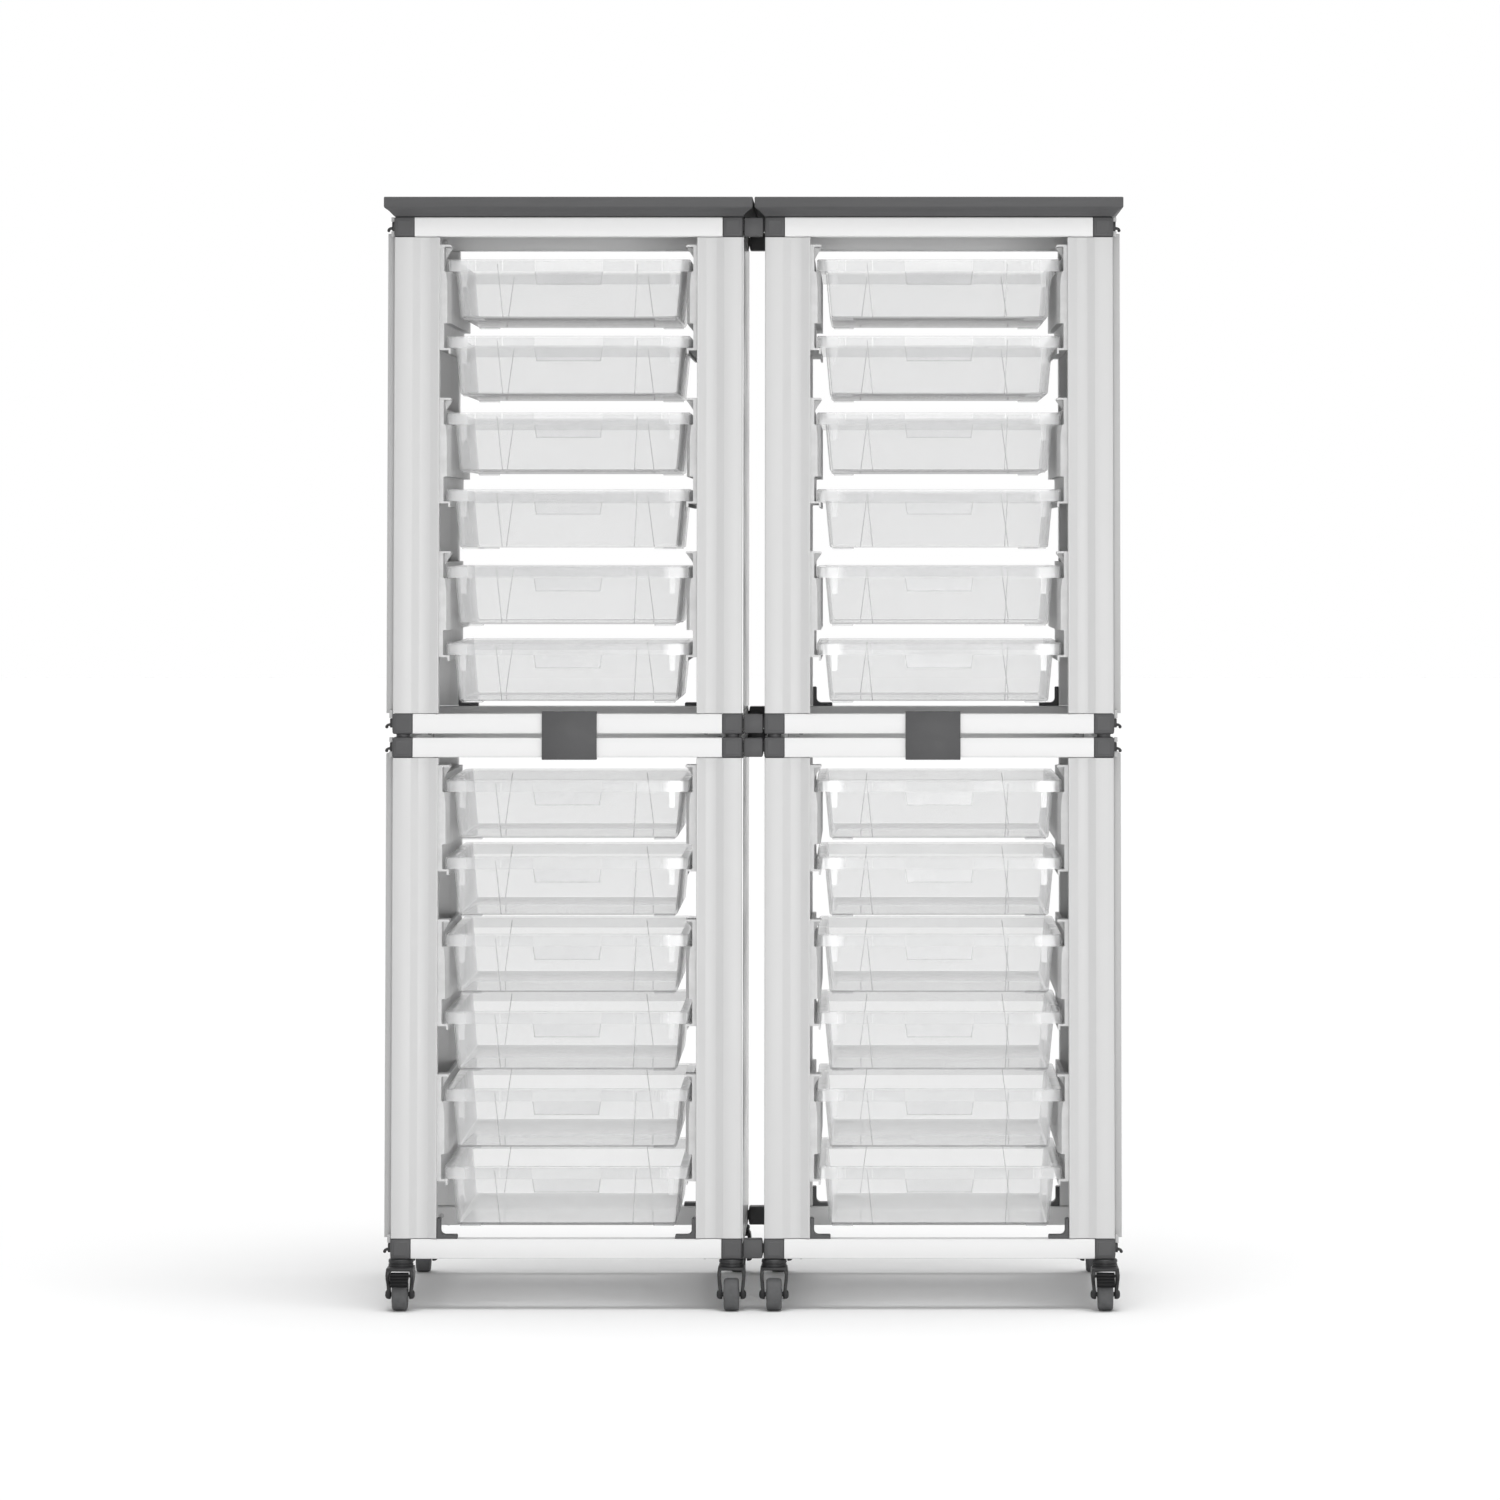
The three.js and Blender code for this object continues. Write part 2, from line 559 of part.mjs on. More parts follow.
// Fork of a front caster about its kingpin: the floor is at height 0 and the axle lies ahead, at -Y
function casterFork(braked) {
  const crownTop = CASTER_HEIGHT - SEAT_GAP;
  const arch = 2 * WHEEL_RADIUS + CROWN_CLEARANCE;
  const half = FORK_TOP_WIDTH / 2;
  const axleHalf = WHEEL_WIDTH / 2 + FORK_SIDE_PLAY;
  const foot = WHEEL_RADIUS - FORK_FOOT_RADIUS;
  const elbow = arch - FORK_LEG;
  const frontView = outline([
    [-axleHalf - FORK_LEG, foot],
    [-axleHalf, foot],
    [-half + FORK_LEG, elbow],
    [-half + 1.5 * FORK_LEG, arch],
    [half - 1.5 * FORK_LEG, arch],
    [half - FORK_LEG, elbow],
    [axleHalf, foot],
    [axleHalf + FORK_LEG, foot],
    [half, elbow],
    [half - FORK_LEG, arch + FORK_LEG],
    [-half + FORK_LEG, arch + FORK_LEG],
    [-half, elbow],
  ]);
  const pin = pedalPin();
  const brow = braked ? 2 * PEDAL_PIN_RADIUS - pin.y : CROWN_RADIUS + FORK_LEG;
  const browFoot = braked ? pin.z - 2 * PEDAL_PIN_RADIUS : elbow;
  const sideView = new THREE.Shape();
  sideView.moveTo(CROWN_RADIUS, arch + FORK_LEG);
  sideView.lineTo(-brow, arch + FORK_LEG);
  sideView.lineTo(-brow, browFoot);
  sideView.lineTo(-CASTER_TRAIL - FORK_FOOT_RADIUS, WHEEL_RADIUS);
  sideView.absarc(-CASTER_TRAIL, WHEEL_RADIUS, FORK_FOOT_RADIUS, Math.PI, 2 * Math.PI);
  sideView.lineTo(CROWN_RADIUS, arch - FORK_LEG);
  const yoke = common(
    prismAlongY(frontView, -CASTER_TRAIL - WHEEL_RADIUS, WHEEL_RADIUS),
    prismAlongX(sideView, -half, half),
  );
  const crown = drum(CROWN_RADIUS, 0, 0, arch + FORK_LEG - FUSE, crownTop, 12);
  const capEnd = axleHalf + FORK_LEG + AXLE_CAP_LENGTH;
  const axle = rod(AXLE_RADIUS, -capEnd + FUSE, capEnd - FUSE, -CASTER_TRAIL, WHEEL_RADIUS, 8);
  const caps = [
    rod(AXLE_CAP_RADIUS, -capEnd, -axleHalf - FORK_LEG + FUSE, -CASTER_TRAIL, WHEEL_RADIUS, 8),
    rod(AXLE_CAP_RADIUS, axleHalf + FORK_LEG - FUSE, capEnd, -CASTER_TRAIL, WHEEL_RADIUS, 8),
  ];
  const pieces = [yoke, crown, axle, ...caps];
  if (braked) {
    pieces.push(rod(PEDAL_PIN_RADIUS, -half + FORK_LEG / 2, half - FORK_LEG / 2, pin.y, pin.z, 8));
  }
  const socket = drum(clearing(KINGPIN_RADIUS, 8), 0, 0, 0, CASTER_HEIGHT + FUSE, 8);
  return cut(join(...pieces), socket);
}

// Wheel on the axle of a caster, with chamfered shoulders and slightly coned sides
function casterWheel() {
  const half = WHEEL_WIDTH / 2;
  const bore = clearing(AXLE_RADIUS, WHEEL_SIDES);
  const profile = [
    [bore, -half],
    [WHEEL_RADIUS - WHEEL_SHOULDER, -half + WHEEL_CONE],
    [WHEEL_RADIUS, -half + WHEEL_CONE + WHEEL_SHOULDER],
    [WHEEL_RADIUS, half - WHEEL_CONE - WHEEL_SHOULDER],
    [WHEEL_RADIUS - WHEEL_SHOULDER, half - WHEEL_CONE],
    [bore, half],
    [bore, -half],
  ];
  const points = profile.map(([r, h]) => new THREE.Vector2(r, h));
  return new THREE.LatheGeometry(points, WHEEL_SIDES).rotateZ(-Math.PI / 2);
}

// Place of a brake pedal's pin, from the kingpin's axis and the floor
const pedalPin = () => ({
  y: -CASTER_TRAIL - PEDAL_PIN_AHEAD,
  z: WHEEL_RADIUS + PEDAL_PIN_ABOVE,
});

// Ribbed brake pedal about its own pin, sloping down in front of the wheel
function brakePedal() {
  const bore = clearing(PEDAL_PIN_RADIUS, 8);
  const eye = bore + PEDAL_EYE;
  const rib = (PEDAL_REACH - eye) / PEDAL_RIBS;
  const points = [
    [0, eye - PEDAL_THICKNESS],
    [0, eye],
    [-eye, eye],
  ];
  for (let i = 0; i < PEDAL_RIBS; i++) {
    const start = -eye - i * rib;
    points.push([start - rib / 2, eye + PEDAL_RIB_HEIGHT], [start - rib, eye]);
  }
  points.push([-PEDAL_REACH, eye - PEDAL_THICKNESS]);
  const half = PEDAL_WIDTH / 2;
  const plate = prismAlongX(outline(points.reverse()), -half, half);
  const boss = rod(eye, -half, half, 0, 0, 12);
  const hole = rod(bore, -PEDAL_WIDTH, PEDAL_WIDTH, 0, 0, 8);
  return cut(join(plate, boss), hole).rotateX(PEDAL_DROP);
}

// The assembly
const unit = new THREE.Group();

function add(name, geometry, material, [x, y, z]) {
  const mesh = new THREE.Mesh(geometry, material);
  mesh.name = name;
  mesh.position.set(x, y, z);
  unit.add(mesh);
  return mesh;
}

const trayGeometry = tray();
const outerWall = sideWall(true);
const innerWall = sideWall(false);
const boardGeometry = topBoard();

for (const [level, base] of Object.entries(LEVELS)) {
  for (const [column, sign] of Object.entries(COLUMNS)) {
    const x = sign * COLUMN_X;
    const place = `${level}_${column}`;
    const topRing = FRAME_HEIGHT - BLOCK_SIDE;
    const links = (z) => (column === "left" ? couplings(z) : []);
    const topPieces = [...ring(topRing), ...hooks(sign, topRing), ...links(topRing)];
    const basePieces = [...ring(0), ...hooks(sign, 0), ...links(0), ...gussets(1, 0)];
    if (level === "lower") {
      topPieces.push(...spacers(topRing), stackingClip(CLIP_SHIFT[column], topRing));
      basePieces.push(...gussets(-1, 0), ...kingpins(0));
    } else {
      add(`top_board_${column}`, boardGeometry, DARK_BOARD, [x, 0, base + FRAME_HEIGHT + SEAT_GAP]);
    }
    add(`${place}_top_ring`, join(...topPieces), WHITE_STEEL, [x, 0, base]);
    add(`${place}_base_ring`, join(...basePieces), WHITE_STEEL, [x, 0, base]);
    add(`${place}_outer_side`, outerWall, WHITE_STEEL, [x, 0, base]).scale.x = -sign;
    add(`${place}_inner_side`, innerWall, WHITE_STEEL, [x, 0, base]).scale.x = sign;
    for (let row = 0; row < TRAYS_PER_MODULE; row++) {
      const z = base + FRAME_HEIGHT - TOP_LEDGE_DROP - row * TRAY_PITCH + RUNNING_GAP;
      add(`${place}_tray_${row + 1}`, trayGeometry, CLEAR_PLASTIC, [x, 0, z]);
    }
  }
}

const wheelGeometry = casterWheel();
const pedalGeometry = brakePedal();
const plainFork = casterFork(false);
const brakedFork = casterFork(true);

for (const [column, sign] of Object.entries(COLUMNS)) {
  for (const [position, side] of Object.entries({ outer: sign, inner: -sign })) {
    for (const [end, forward] of Object.entries({ front: 1, back: -1 })) {
      const place = `${column}_${position}_${end}`;
      const x = sign * COLUMN_X + side * BLOCK_X;
      const y = -forward * BLOCK_Y;
      const braked = position === "outer" && end === "front";
      const fork = add(`fork_${place}`, braked ? brakedFork : plainFork, CASTER_PLASTIC, [x, y, 0]);
      if (forward < 0) fork.rotation.z = Math.PI;
      add(`wheel_${place}`, wheelGeometry, WHEEL_RUBBER, [x, y - forward * CASTER_TRAIL, WHEEL_RADIUS]);
      if (braked) {
        const pin = pedalPin();
        add(`brake_pedal_${column}`, pedalGeometry, PEDAL_PLASTIC, [x, y + pin.y, pin.z]);
      }
    }
  }
}

export default unit;
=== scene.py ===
"""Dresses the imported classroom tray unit: tube frames, corner blocks, runners, clear trays and casters."""

import math
from functools import cache

import bmesh
import bpy
from bpy.props import FloatProperty, FloatVectorProperty, IntProperty, PointerProperty
from bpy.types import Operator, Panel, PropertyGroup
from mathutils import Matrix, Vector


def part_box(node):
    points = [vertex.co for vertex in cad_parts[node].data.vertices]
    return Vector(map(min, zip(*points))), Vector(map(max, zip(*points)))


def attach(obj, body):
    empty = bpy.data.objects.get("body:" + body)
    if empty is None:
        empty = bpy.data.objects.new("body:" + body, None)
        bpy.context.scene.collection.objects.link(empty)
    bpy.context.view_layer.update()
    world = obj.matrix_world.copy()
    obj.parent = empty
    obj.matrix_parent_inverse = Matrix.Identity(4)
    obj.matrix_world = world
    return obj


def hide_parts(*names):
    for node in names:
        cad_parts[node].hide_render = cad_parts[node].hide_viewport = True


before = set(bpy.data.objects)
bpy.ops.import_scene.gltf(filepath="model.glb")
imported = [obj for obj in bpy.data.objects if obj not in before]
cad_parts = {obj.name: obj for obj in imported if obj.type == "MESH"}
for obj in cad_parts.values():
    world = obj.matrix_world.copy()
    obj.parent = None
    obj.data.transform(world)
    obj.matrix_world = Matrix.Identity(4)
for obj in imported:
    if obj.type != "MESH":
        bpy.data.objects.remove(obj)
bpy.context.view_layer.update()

bl_info = {
    "name": "Classroom tray unit",
    "version": (1, 0, 0),
    "blender": (4, 5, 0),
    "location": "View3D > Sidebar > Tray unit",
    "description": "Builds the looks of a stacked tray unit around its packed model",
    "category": "Object",
}

FRAME_BODY = "frame"
MM = 0.001

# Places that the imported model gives, in millimetres
LEVELS = ("lower", "upper")
COLUMNS = {"left": -1, "right": 1}
ROWS = range(1, 7)
HALF = 223.0  # half of a module's width and depth
HEIGHT = 660.0
BLOCK = 26.0
TUBE = 25.0
BLOCK_AT = HALF - BLOCK / 2
STACK_GAP = 4.2
COLUMN_GAP = 28.0
UPRIGHT = 58.4
TRAY_PITCH = 98.0
TOP_LEDGE = 590.0
SEAT = 0.3
INSET = (BLOCK - TUBE) / 2
ENDS = (-1, 1)
CORNERS = [(sx, sy) for sx in ENDS for sy in ENDS]
RINGS = {"top_ring": HEIGHT - BLOCK, "base_ring": 0.0}


def millimetres(value):
    return value / MM


def modules():
    """Name, level, side sign, middle x and base z of each module, from its first tray and inner wall."""
    for level in LEVELS:
        for column, sign in COLUMNS.items():
            low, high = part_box(f"{level}_{column}_tray_1")
            middle = millimetres((low.x + high.x) / 2)
            foot = millimetres(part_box(f"{level}_{column}_inner_side")[0].z)
            yield f"{level}_{column}", level, sign, middle, foot - BLOCK - SEAT


class TrayUnitSizes(PropertyGroup):
    """Sizes that a user would change"""

    tube_radius: FloatProperty(
        name="Tube corner radius", description="Rounding of the square tubes' edges",
        default=2.2 * MM, min=0.2 * MM, max=6 * MM, unit="LENGTH",
    )
    block_radius: FloatProperty(
        name="Corner block radius", description="Rounding of the corner blocks' edges",
        default=2.4 * MM, min=0.2 * MM, max=6 * MM, unit="LENGTH",
    )
    board_radius: FloatProperty(
        name="Board edge radius", description="Rounding of the top boards' edges",
        default=1.4 * MM, min=0.2 * MM, max=5 * MM, unit="LENGTH",
    )
    screw_diameter: FloatProperty(
        name="Screw diameter", description="Width of the small screw heads",
        default=6.4 * MM, min=2 * MM, max=12 * MM, unit="LENGTH",
    )
    runner_pairs: IntProperty(
        name="Runner pairs", description="Double runners on each side of a module",
        default=3, min=1, max=6,
    )
    pedal_ribs: IntProperty(
        name="Pedal ribs", description="Raised bars across a brake pedal",
        default=4, min=1, max=9,
    )


COLOUR = {"subtype": "COLOR", "min": 0, "max": 1}


class TrayUnitColours(PropertyGroup):
    """Colours that a user would change"""

    # The rail colour also paints the back uprights lighter than the front ones: painted light.
    rail: FloatVectorProperty(
        name="Rails", description="White paint of the rails, panels and back uprights",
        default=(0.73, 0.73, 0.73), **COLOUR,
    )
    upright: FloatVectorProperty(
        name="Uprights", description="Pale grey coat of the front uprights",
        default=(0.565, 0.565, 0.565), **COLOUR,
    )
    panel: FloatVectorProperty(
        name="End panels", description="Grey bands on the end panels' edges",
        default=(0.46, 0.46, 0.46), **COLOUR,
    )
    runner: FloatVectorProperty(
        name="Runners", description="Moulded runners", default=(0.6, 0.6, 0.6), **COLOUR,
    )
    board: FloatVectorProperty(
        name="Boards", description="Dark laminate of the top boards",
        default=(0.069, 0.069, 0.071), **COLOUR,
    )
    block: FloatVectorProperty(
        name="Corner blocks", description="Dark moulded corner blocks and fittings",
        default=(0.056, 0.056, 0.058), **COLOUR,
    )
    caster: FloatVectorProperty(
        name="Caster forks", description="Dark plastic of the caster forks",
        default=(0.021, 0.021, 0.022), **COLOUR,
    )
    wheel: FloatVectorProperty(
        name="Wheels", description="Grey tread of the wheels", default=(0.08, 0.081, 0.083), **COLOUR,
    )
    pedal: FloatVectorProperty(
        name="Brake pedals", description="Black plastic of the brake pedals",
        default=(0.008, 0.008, 0.0085), **COLOUR,
    )
    tray: FloatVectorProperty(
        name="Trays", description="Clear plastic of the trays", default=(0.66, 0.665, 0.67), **COLOUR,
    )


def sizes():
    return bpy.context.scene.tray_unit_sizes


def colours():
    return bpy.context.scene.tray_unit_colours


# Nodes


def feed(tree, target, inputs):
    """Links a node's inputs to sockets, or sets them to values."""
    for name, value in inputs.items():
        if isinstance(value, bpy.types.NodeSocket):
            tree.links.new(value, target.inputs[name])
        else:
            target.inputs[name].default_value = value
    return target


def new_node(tree, kind, inputs=None, **settings):
    """A new node of a tree, with its settings and its inputs."""
    made = tree.nodes.new(kind)
    for name, value in settings.items():
        setattr(made, name, value)
    return feed(tree, made, inputs or {})


def combined(tree, operation, first, second):
    return new_node(tree, "ShaderNodeMath", {0: first, 1: second}, operation=operation).outputs["Value"]


def ranged(tree, value, start, stop, low, high, kind="LINEAR"):
    """Maps a value from one range to another."""
    inputs = {"Value": value, "From Min": start, "From Max": stop, "To Min": low, "To Max": high}
    return new_node(tree, "ShaderNodeMapRange", inputs, interpolation_type=kind).outputs["Result"]


# Finishes

NOISE_MIDDLE = (0.3, 0.7)  # most of a noise lies between these


def new_finish(name):
    """A node material with its tree, its Principled shader and Object coordinates."""
    material = bpy.data.materials.new(name)
    material.use_nodes = True
    tree = material.node_tree
    shader = next(n for n in tree.nodes if n.type == "BSDF_PRINCIPLED")
    return material, tree, shader, new_node(tree, "ShaderNodeTexCoord").outputs["Object"]


def noise(tree, place, scale, detail=3.0):
    inputs = {"Vector": place, "Scale": scale, "Detail": detail, "Roughness": 0.55}
    return new_node(tree, "ShaderNodeTexNoise", inputs).outputs["Fac"]


def spread(tree, value, low, high):
    """Maps the middle of a noise to a range."""
    return ranged(tree, value, *NOISE_MIDDLE, low, high)


def tint(tree, value, colour, change):
    """Varies a colour by a share either way, following a noise."""
    ramp = new_node(tree, "ShaderNodeValToRGB", {"Fac": value})
    for stop, place, share in zip(ramp.color_ramp.elements, NOISE_MIDDLE, (1 - change, 1 + change)):
        stop.position = place
        stop.color = [min(1.0, c * share) for c in colour] + [1]
    return ramp.outputs["Color"]


def bump(tree, value, distance, strength):
    inputs = {"Height": value, "Distance": distance, "Strength": strength}
    return new_node(tree, "ShaderNodeBump", inputs).outputs["Normal"]


def painted_steel(name, colour, roughness):
    """Powder coat: a faint orange peel and slow changes of shade."""
    material, tree, shader, place = new_finish(name)
    slow = noise(tree, place, 7.0)
    peel = noise(tree, place, 900.0, 1.0)
    feed(tree, shader, {
        "Base Color": tint(tree, slow, colour, 0.018),
        "Roughness": spread(tree, slow, roughness - 0.05, roughness + 0.05),
        "Normal": bump(tree, peel, 0.0002, 0.25),
    })
    return material


def moulded_plastic(name, colour, roughness, grain, gloss=0.5):
    """Moulded plastic with a fine spark-eroded grain and scuffed patches."""
    material, tree, shader, place = new_finish(name)
    scuff = noise(tree, place, 45.0, 4.0)
    texture = noise(tree, place, grain, 2.0)
    feed(tree, shader, {
        "Base Color": tint(tree, scuff, colour, 0.1),
        "Roughness": spread(tree, scuff, roughness - 0.08, roughness + 0.08),
        "Specular IOR Level": gloss,
        "Normal": bump(tree, texture, 0.0003, 0.35),
    })
    return material


def board_laminate(colour):
    """Matt laminate: fine speckle over slow streaks."""
    material, tree, shader, place = new_finish("board_laminate")
    stretch = new_node(tree, "ShaderNodeMapping", {"Vector": place, "Scale": (4, 60, 60)})
    streak = noise(tree, stretch.outputs["Vector"], 3.0, 5.0)
    speckle = noise(tree, place, 1400.0, 1.0)
    feed(tree, shader, {
        "Base Color": tint(tree, streak, colour, 0.06),
        "Roughness": spread(tree, speckle, 0.52, 0.66),
        "Normal": bump(tree, speckle, 0.0001, 0.3),
    })
    return material


CLEAR = (0.14, 0.6)  # how much a wall and a thick rib hide
GRAZED = (1.0, 0.42)  # how much a face with painted light and one with painted shade hide at a grazing angle
THIN, PAINTED_SHADE, PAINTED_LIGHT = -0.2, 1.0, -1.0  # marks on a tray: thin places, painted shade on the floor's underside and painted light on its top


def clear_plastic(colour):
    """Thin clear walls; marks on the mesh say where they look thicker, where painted shade makes them darker
    and where painted light makes them paler.
    """
    material, tree, shader, place = new_finish("clear_plastic")
    cloud = noise(tree, place, 18.0)
    thick = new_node(tree, "ShaderNodeAttribute", attribute_name="thickness").outputs["Fac"]
    tone = new_node(tree, "ShaderNodeAttribute", attribute_name="tone").outputs["Fac"]
    shade = tint(tree, cloud, colour, 0.03)
    # Painted light (pale grey) and painted shade (dark grey) are mixed in by the tone mark; where the shade
    # is painted, reflections are turned off too.
    for far, grey in ((PAINTED_LIGHT, 0.9), (PAINTED_SHADE, 0.16)):
        amount = ranged(tree, tone, 0.0, far, 0.0, 1.0)
        inputs = {"Factor": amount, "A": shade, "B": (grey, grey, grey, 1)}
        shade = new_node(tree, "ShaderNodeMix", inputs, data_type="RGBA").outputs["Result"]
    wall = ranged(tree, thick, THIN, 0.0, 0.0, CLEAR[0])
    rib = ranged(tree, thick, 0.0, 1.0, 0.0, CLEAR[1] - CLEAR[0])
    slant = new_node(tree, "ShaderNodeLayerWeight", {"Blend": 0.5}).outputs["Facing"]
    graze = ranged(tree, slant, 0.55, 0.95, 0.0, 1.0, "SMOOTHSTEP")
    edge = combined(tree, "MULTIPLY", graze, ranged(tree, tone, PAINTED_LIGHT, PAINTED_SHADE, *GRAZED))
    polish = ranged(tree, tone, PAINTED_LIGHT, 0.0, 0.3, 1.0)
    feed(tree, shader, {
        "Base Color": shade,
        "Roughness": combined(tree, "MULTIPLY", spread(tree, cloud, 0.16, 0.26), polish),
        "Specular IOR Level": ranged(tree, tone, 0.0, PAINTED_SHADE, 0.5, 0.0),
        "Alpha": combined(tree, "MAXIMUM", combined(tree, "ADD", wall, rib), edge),
        "IOR": 1.49,
    })
    return material


def wheel_tread(colour):
    """Grey rubber with dust in its pores."""
    material, tree, shader, place = new_finish("wheel_tread")
    dust = noise(tree, place, 120.0, 4.0)
    feed(tree, shader, {
        "Base Color": tint(tree, dust, colour, 0.18),
        "Roughness": spread(tree, dust, 0.55, 0.75),
        "Normal": bump(tree, dust, 0.0004, 0.3),
    })
    return material


def floor_paint(colour):
    """Matt pale paint."""
    material, tree, shader, place = new_finish("pale_floor")
    tree.nodes.remove(shader)
    shade = tint(tree, noise(tree, place, 2.0), colour, 0.004)
    matt = new_node(tree, "ShaderNodeBsdfDiffuse", {"Color": shade})
    leave = next(n for n in tree.nodes if n.type == "OUTPUT_MATERIAL")
    feed(tree, leave, {"Surface": matt.outputs["BSDF"]})
    return material


@cache
def finishes():
    """One material for each finish, made once."""
    c = colours()
    return {
        "rail": painted_steel("rail_paint", c.rail, 0.42),
        "sheet": painted_steel("sheet_paint", c.rail, 0.2),
        "upright": painted_steel("upright_coat", c.upright, 0.4),
        "panel": painted_steel("panel_coat", c.panel, 0.45),
        "runner": moulded_plastic("runner_plastic", c.runner, 0.5, 1100.0),
        "block": moulded_plastic("block_plastic", c.block, 0.52, 1300.0),
        "caster": moulded_plastic("fork_plastic", c.caster, 0.45, 1300.0, 0.35),
        "pedal": moulded_plastic("pedal_plastic", c.pedal, 0.5, 1300.0, 0.1),
        "board": board_laminate(c.board),
        "tray": clear_plastic(c.tray),
        "wheel": wheel_tread(c.wheel),
    }


def finish(name):
    return finishes()[name]


# Forms, in millimetres


class Form:
    """Vertices and faces of one piece, gathered from closed shapes."""

    def __init__(self):
        self.points = []
        self.faces = []
        # Marks for how thick a place looks and for the light and shade painted on it.
        self.marks = {"thickness": [], "tone": []}

    def add(self, shape, **marks):
        """Adds a shape; each mark is one number or one for each point."""
        points, faces = shape
        start = len(self.points)
        self.points.extend(tuple(p) for p in points)
        self.faces.extend([start + i for i in face] for face in faces)
        for name, values in self.marks.items():
            mark = marks.get(name, 0.0)
            values.extend(mark if isinstance(mark, list) else [mark] * len(points))
        return self


def gathered(shapes):
    """One form of several shapes."""
    form = Form()
    for shape in shapes:
        form.add(shape)
    return form


def moved(shape, x=0.0, y=0.0, z=0.0, turn=False, mirror=False):
    """A shape turned half round Z or mirrored in X, then moved."""
    points, faces = shape
    sx = -1 if turn or mirror else 1
    sy = -1 if turn else 1
    placed = [(sx * p[0] + x, sy * p[1] + y, p[2] + z) for p in points]
    return placed, [f[::-1] for f in faces] if mirror else faces


def loft(loops):
    """A skin over loops of equally many points, capped at both ends."""
    count = len(loops[0])
    points = [p for loop in loops for p in loop]
    faces = []
    for ring in range(len(loops) - 1):
        a, b = ring * count, (ring + 1) * count
        faces.extend([a + i, a + (i + 1) % count, b + (i + 1) % count, b + i] for i in range(count))
    faces.append(list(range(count))[::-1])
    faces.append(list(range(len(points) - count, len(points))))
    return points, faces


def prism(section, low, high, axis):
    """A closed section pushed along an axis; section points are in the other two axes' order."""

    def at(a, b, t):
        return {"X": (t, a, b), "Y": (a, t, b), "Z": (a, b, t)}[axis]

    return loft([[at(a, b, t) for a, b in section] for t in (low, high)])


def box(low, high):
    (x0, y0, z0), (x1, y1, z1) = low, high
    return prism([(x0, y0), (x1, y0), (x1, y1), (x0, y1)], z0, z1, "Z")


def turned(profile, steps, axis="Z"):
    """A profile of radius and height turned round an axis; it starts and ends on the axis or is closed."""
    points, faces = [], []
    count = len(profile)
    for i in range(steps):
        a = 2 * math.pi * i / steps
        for radius, height in profile:
            u, v = radius * math.cos(a), radius * math.sin(a)
            points.append({"Z": (u, v, height), "X": (height, u, v)}[axis])
    for i in range(steps):
        a, b = i * count, (i + 1) % steps * count
        faces.extend([a + j, b + j, b + j + 1, a + j + 1] for j in range(count - 1))
    return points, faces


def arc(centre, radius, start, end, steps):
    """Points on an arc, in degrees."""
    angles = [math.radians(start + (end - start) * i / steps) for i in range(steps + 1)]
    return [(centre[0] + radius * math.cos(a), centre[1] + radius * math.sin(a)) for a in angles]


def rounded(shape, radius, segments=2, over=30.0):
    """Rounds the edges of a shape that are sharper than an angle."""
    points, faces = shape
    mesh = bmesh.new()
    verts = [mesh.verts.new(p) for p in points]
    for face in faces:
        mesh.faces.new([verts[i] for i in face])
    bmesh.ops.remove_doubles(mesh, verts=mesh.verts, dist=1e-4)
    bmesh.ops.recalc_face_normals(mesh, faces=mesh.faces)
    sharp = [e for e in mesh.edges if len(e.link_faces) == 2 and e.calc_face_angle() > math.radians(over)]
    bmesh.ops.bevel(
        mesh, geom=sharp, offset=radius, segments=segments, profile=0.5, affect="EDGES", clamp_overlap=True
    )
    mesh.verts.index_update()
    result = [tuple(v.co) for v in mesh.verts], [[v.index for v in f.verts] for f in mesh.faces]
    mesh.free()
    return result


def plain_mesh(name, form, smooth=35.0):
    """A Blender mesh of a form, in metres, facing outwards and smooth where it is not creased."""
    mesh = bpy.data.meshes.new(name)
    mesh.from_pydata([Vector(p) * MM for p in form.points], [], form.faces)
    for mark, values in form.marks.items():
        if any(values):
            mesh.attributes.new(mark, "FLOAT", "POINT").data.foreach_set("value", values)
    work = bmesh.new()
    work.from_mesh(mesh)
    bmesh.ops.remove_doubles(work, verts=work.verts, dist=1e-7)
    bmesh.ops.recalc_face_normals(work, faces=work.faces)
    work.to_mesh(mesh)
    work.free()
    mesh.shade_smooth()
    mesh.set_sharp_from_angle(angle=math.radians(smooth))
    return mesh


def in_scene(name, data):
    """A new object in the scene."""
    made = bpy.data.objects.new(name, data)
    bpy.context.scene.collection.objects.link(made)
    return made


def show(name, mesh, material, body, slot, *nodes):
    """Puts a finished mesh in the scene on its body, in place of the nodes that it stands for."""
    mesh.materials.clear()
    mesh.materials.append(finish(material))
    piece = in_scene(name, mesh)
    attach(piece, body)
    if nodes:
        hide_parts(*nodes)
    return piece


def frame_piece(name, shapes, material, *nodes, smooth=35.0):
    """A piece of the fixed frame."""
    mesh = plain_mesh(name, gathered(shapes), smooth)
    show(name, mesh, material, FRAME_BODY, "white_steel", *nodes)


# Geometry Nodes


def new_tree(name, **inputs):
    """A geometry tree with a geometry, the named inputs and a material, and its input sockets."""
    tree = bpy.data.node_groups.new(name, "GeometryNodeTree")
    for label, kind in {"Geometry": "Geometry", **inputs, "Material": "Material"}.items():
        tree.interface.new_socket(label, in_out="INPUT", socket_type="NodeSocket" + kind)
    tree.interface.new_socket("Geometry", in_out="OUTPUT", socket_type="NodeSocketGeometry")
    return tree, new_node(tree, "NodeGroupInput").outputs


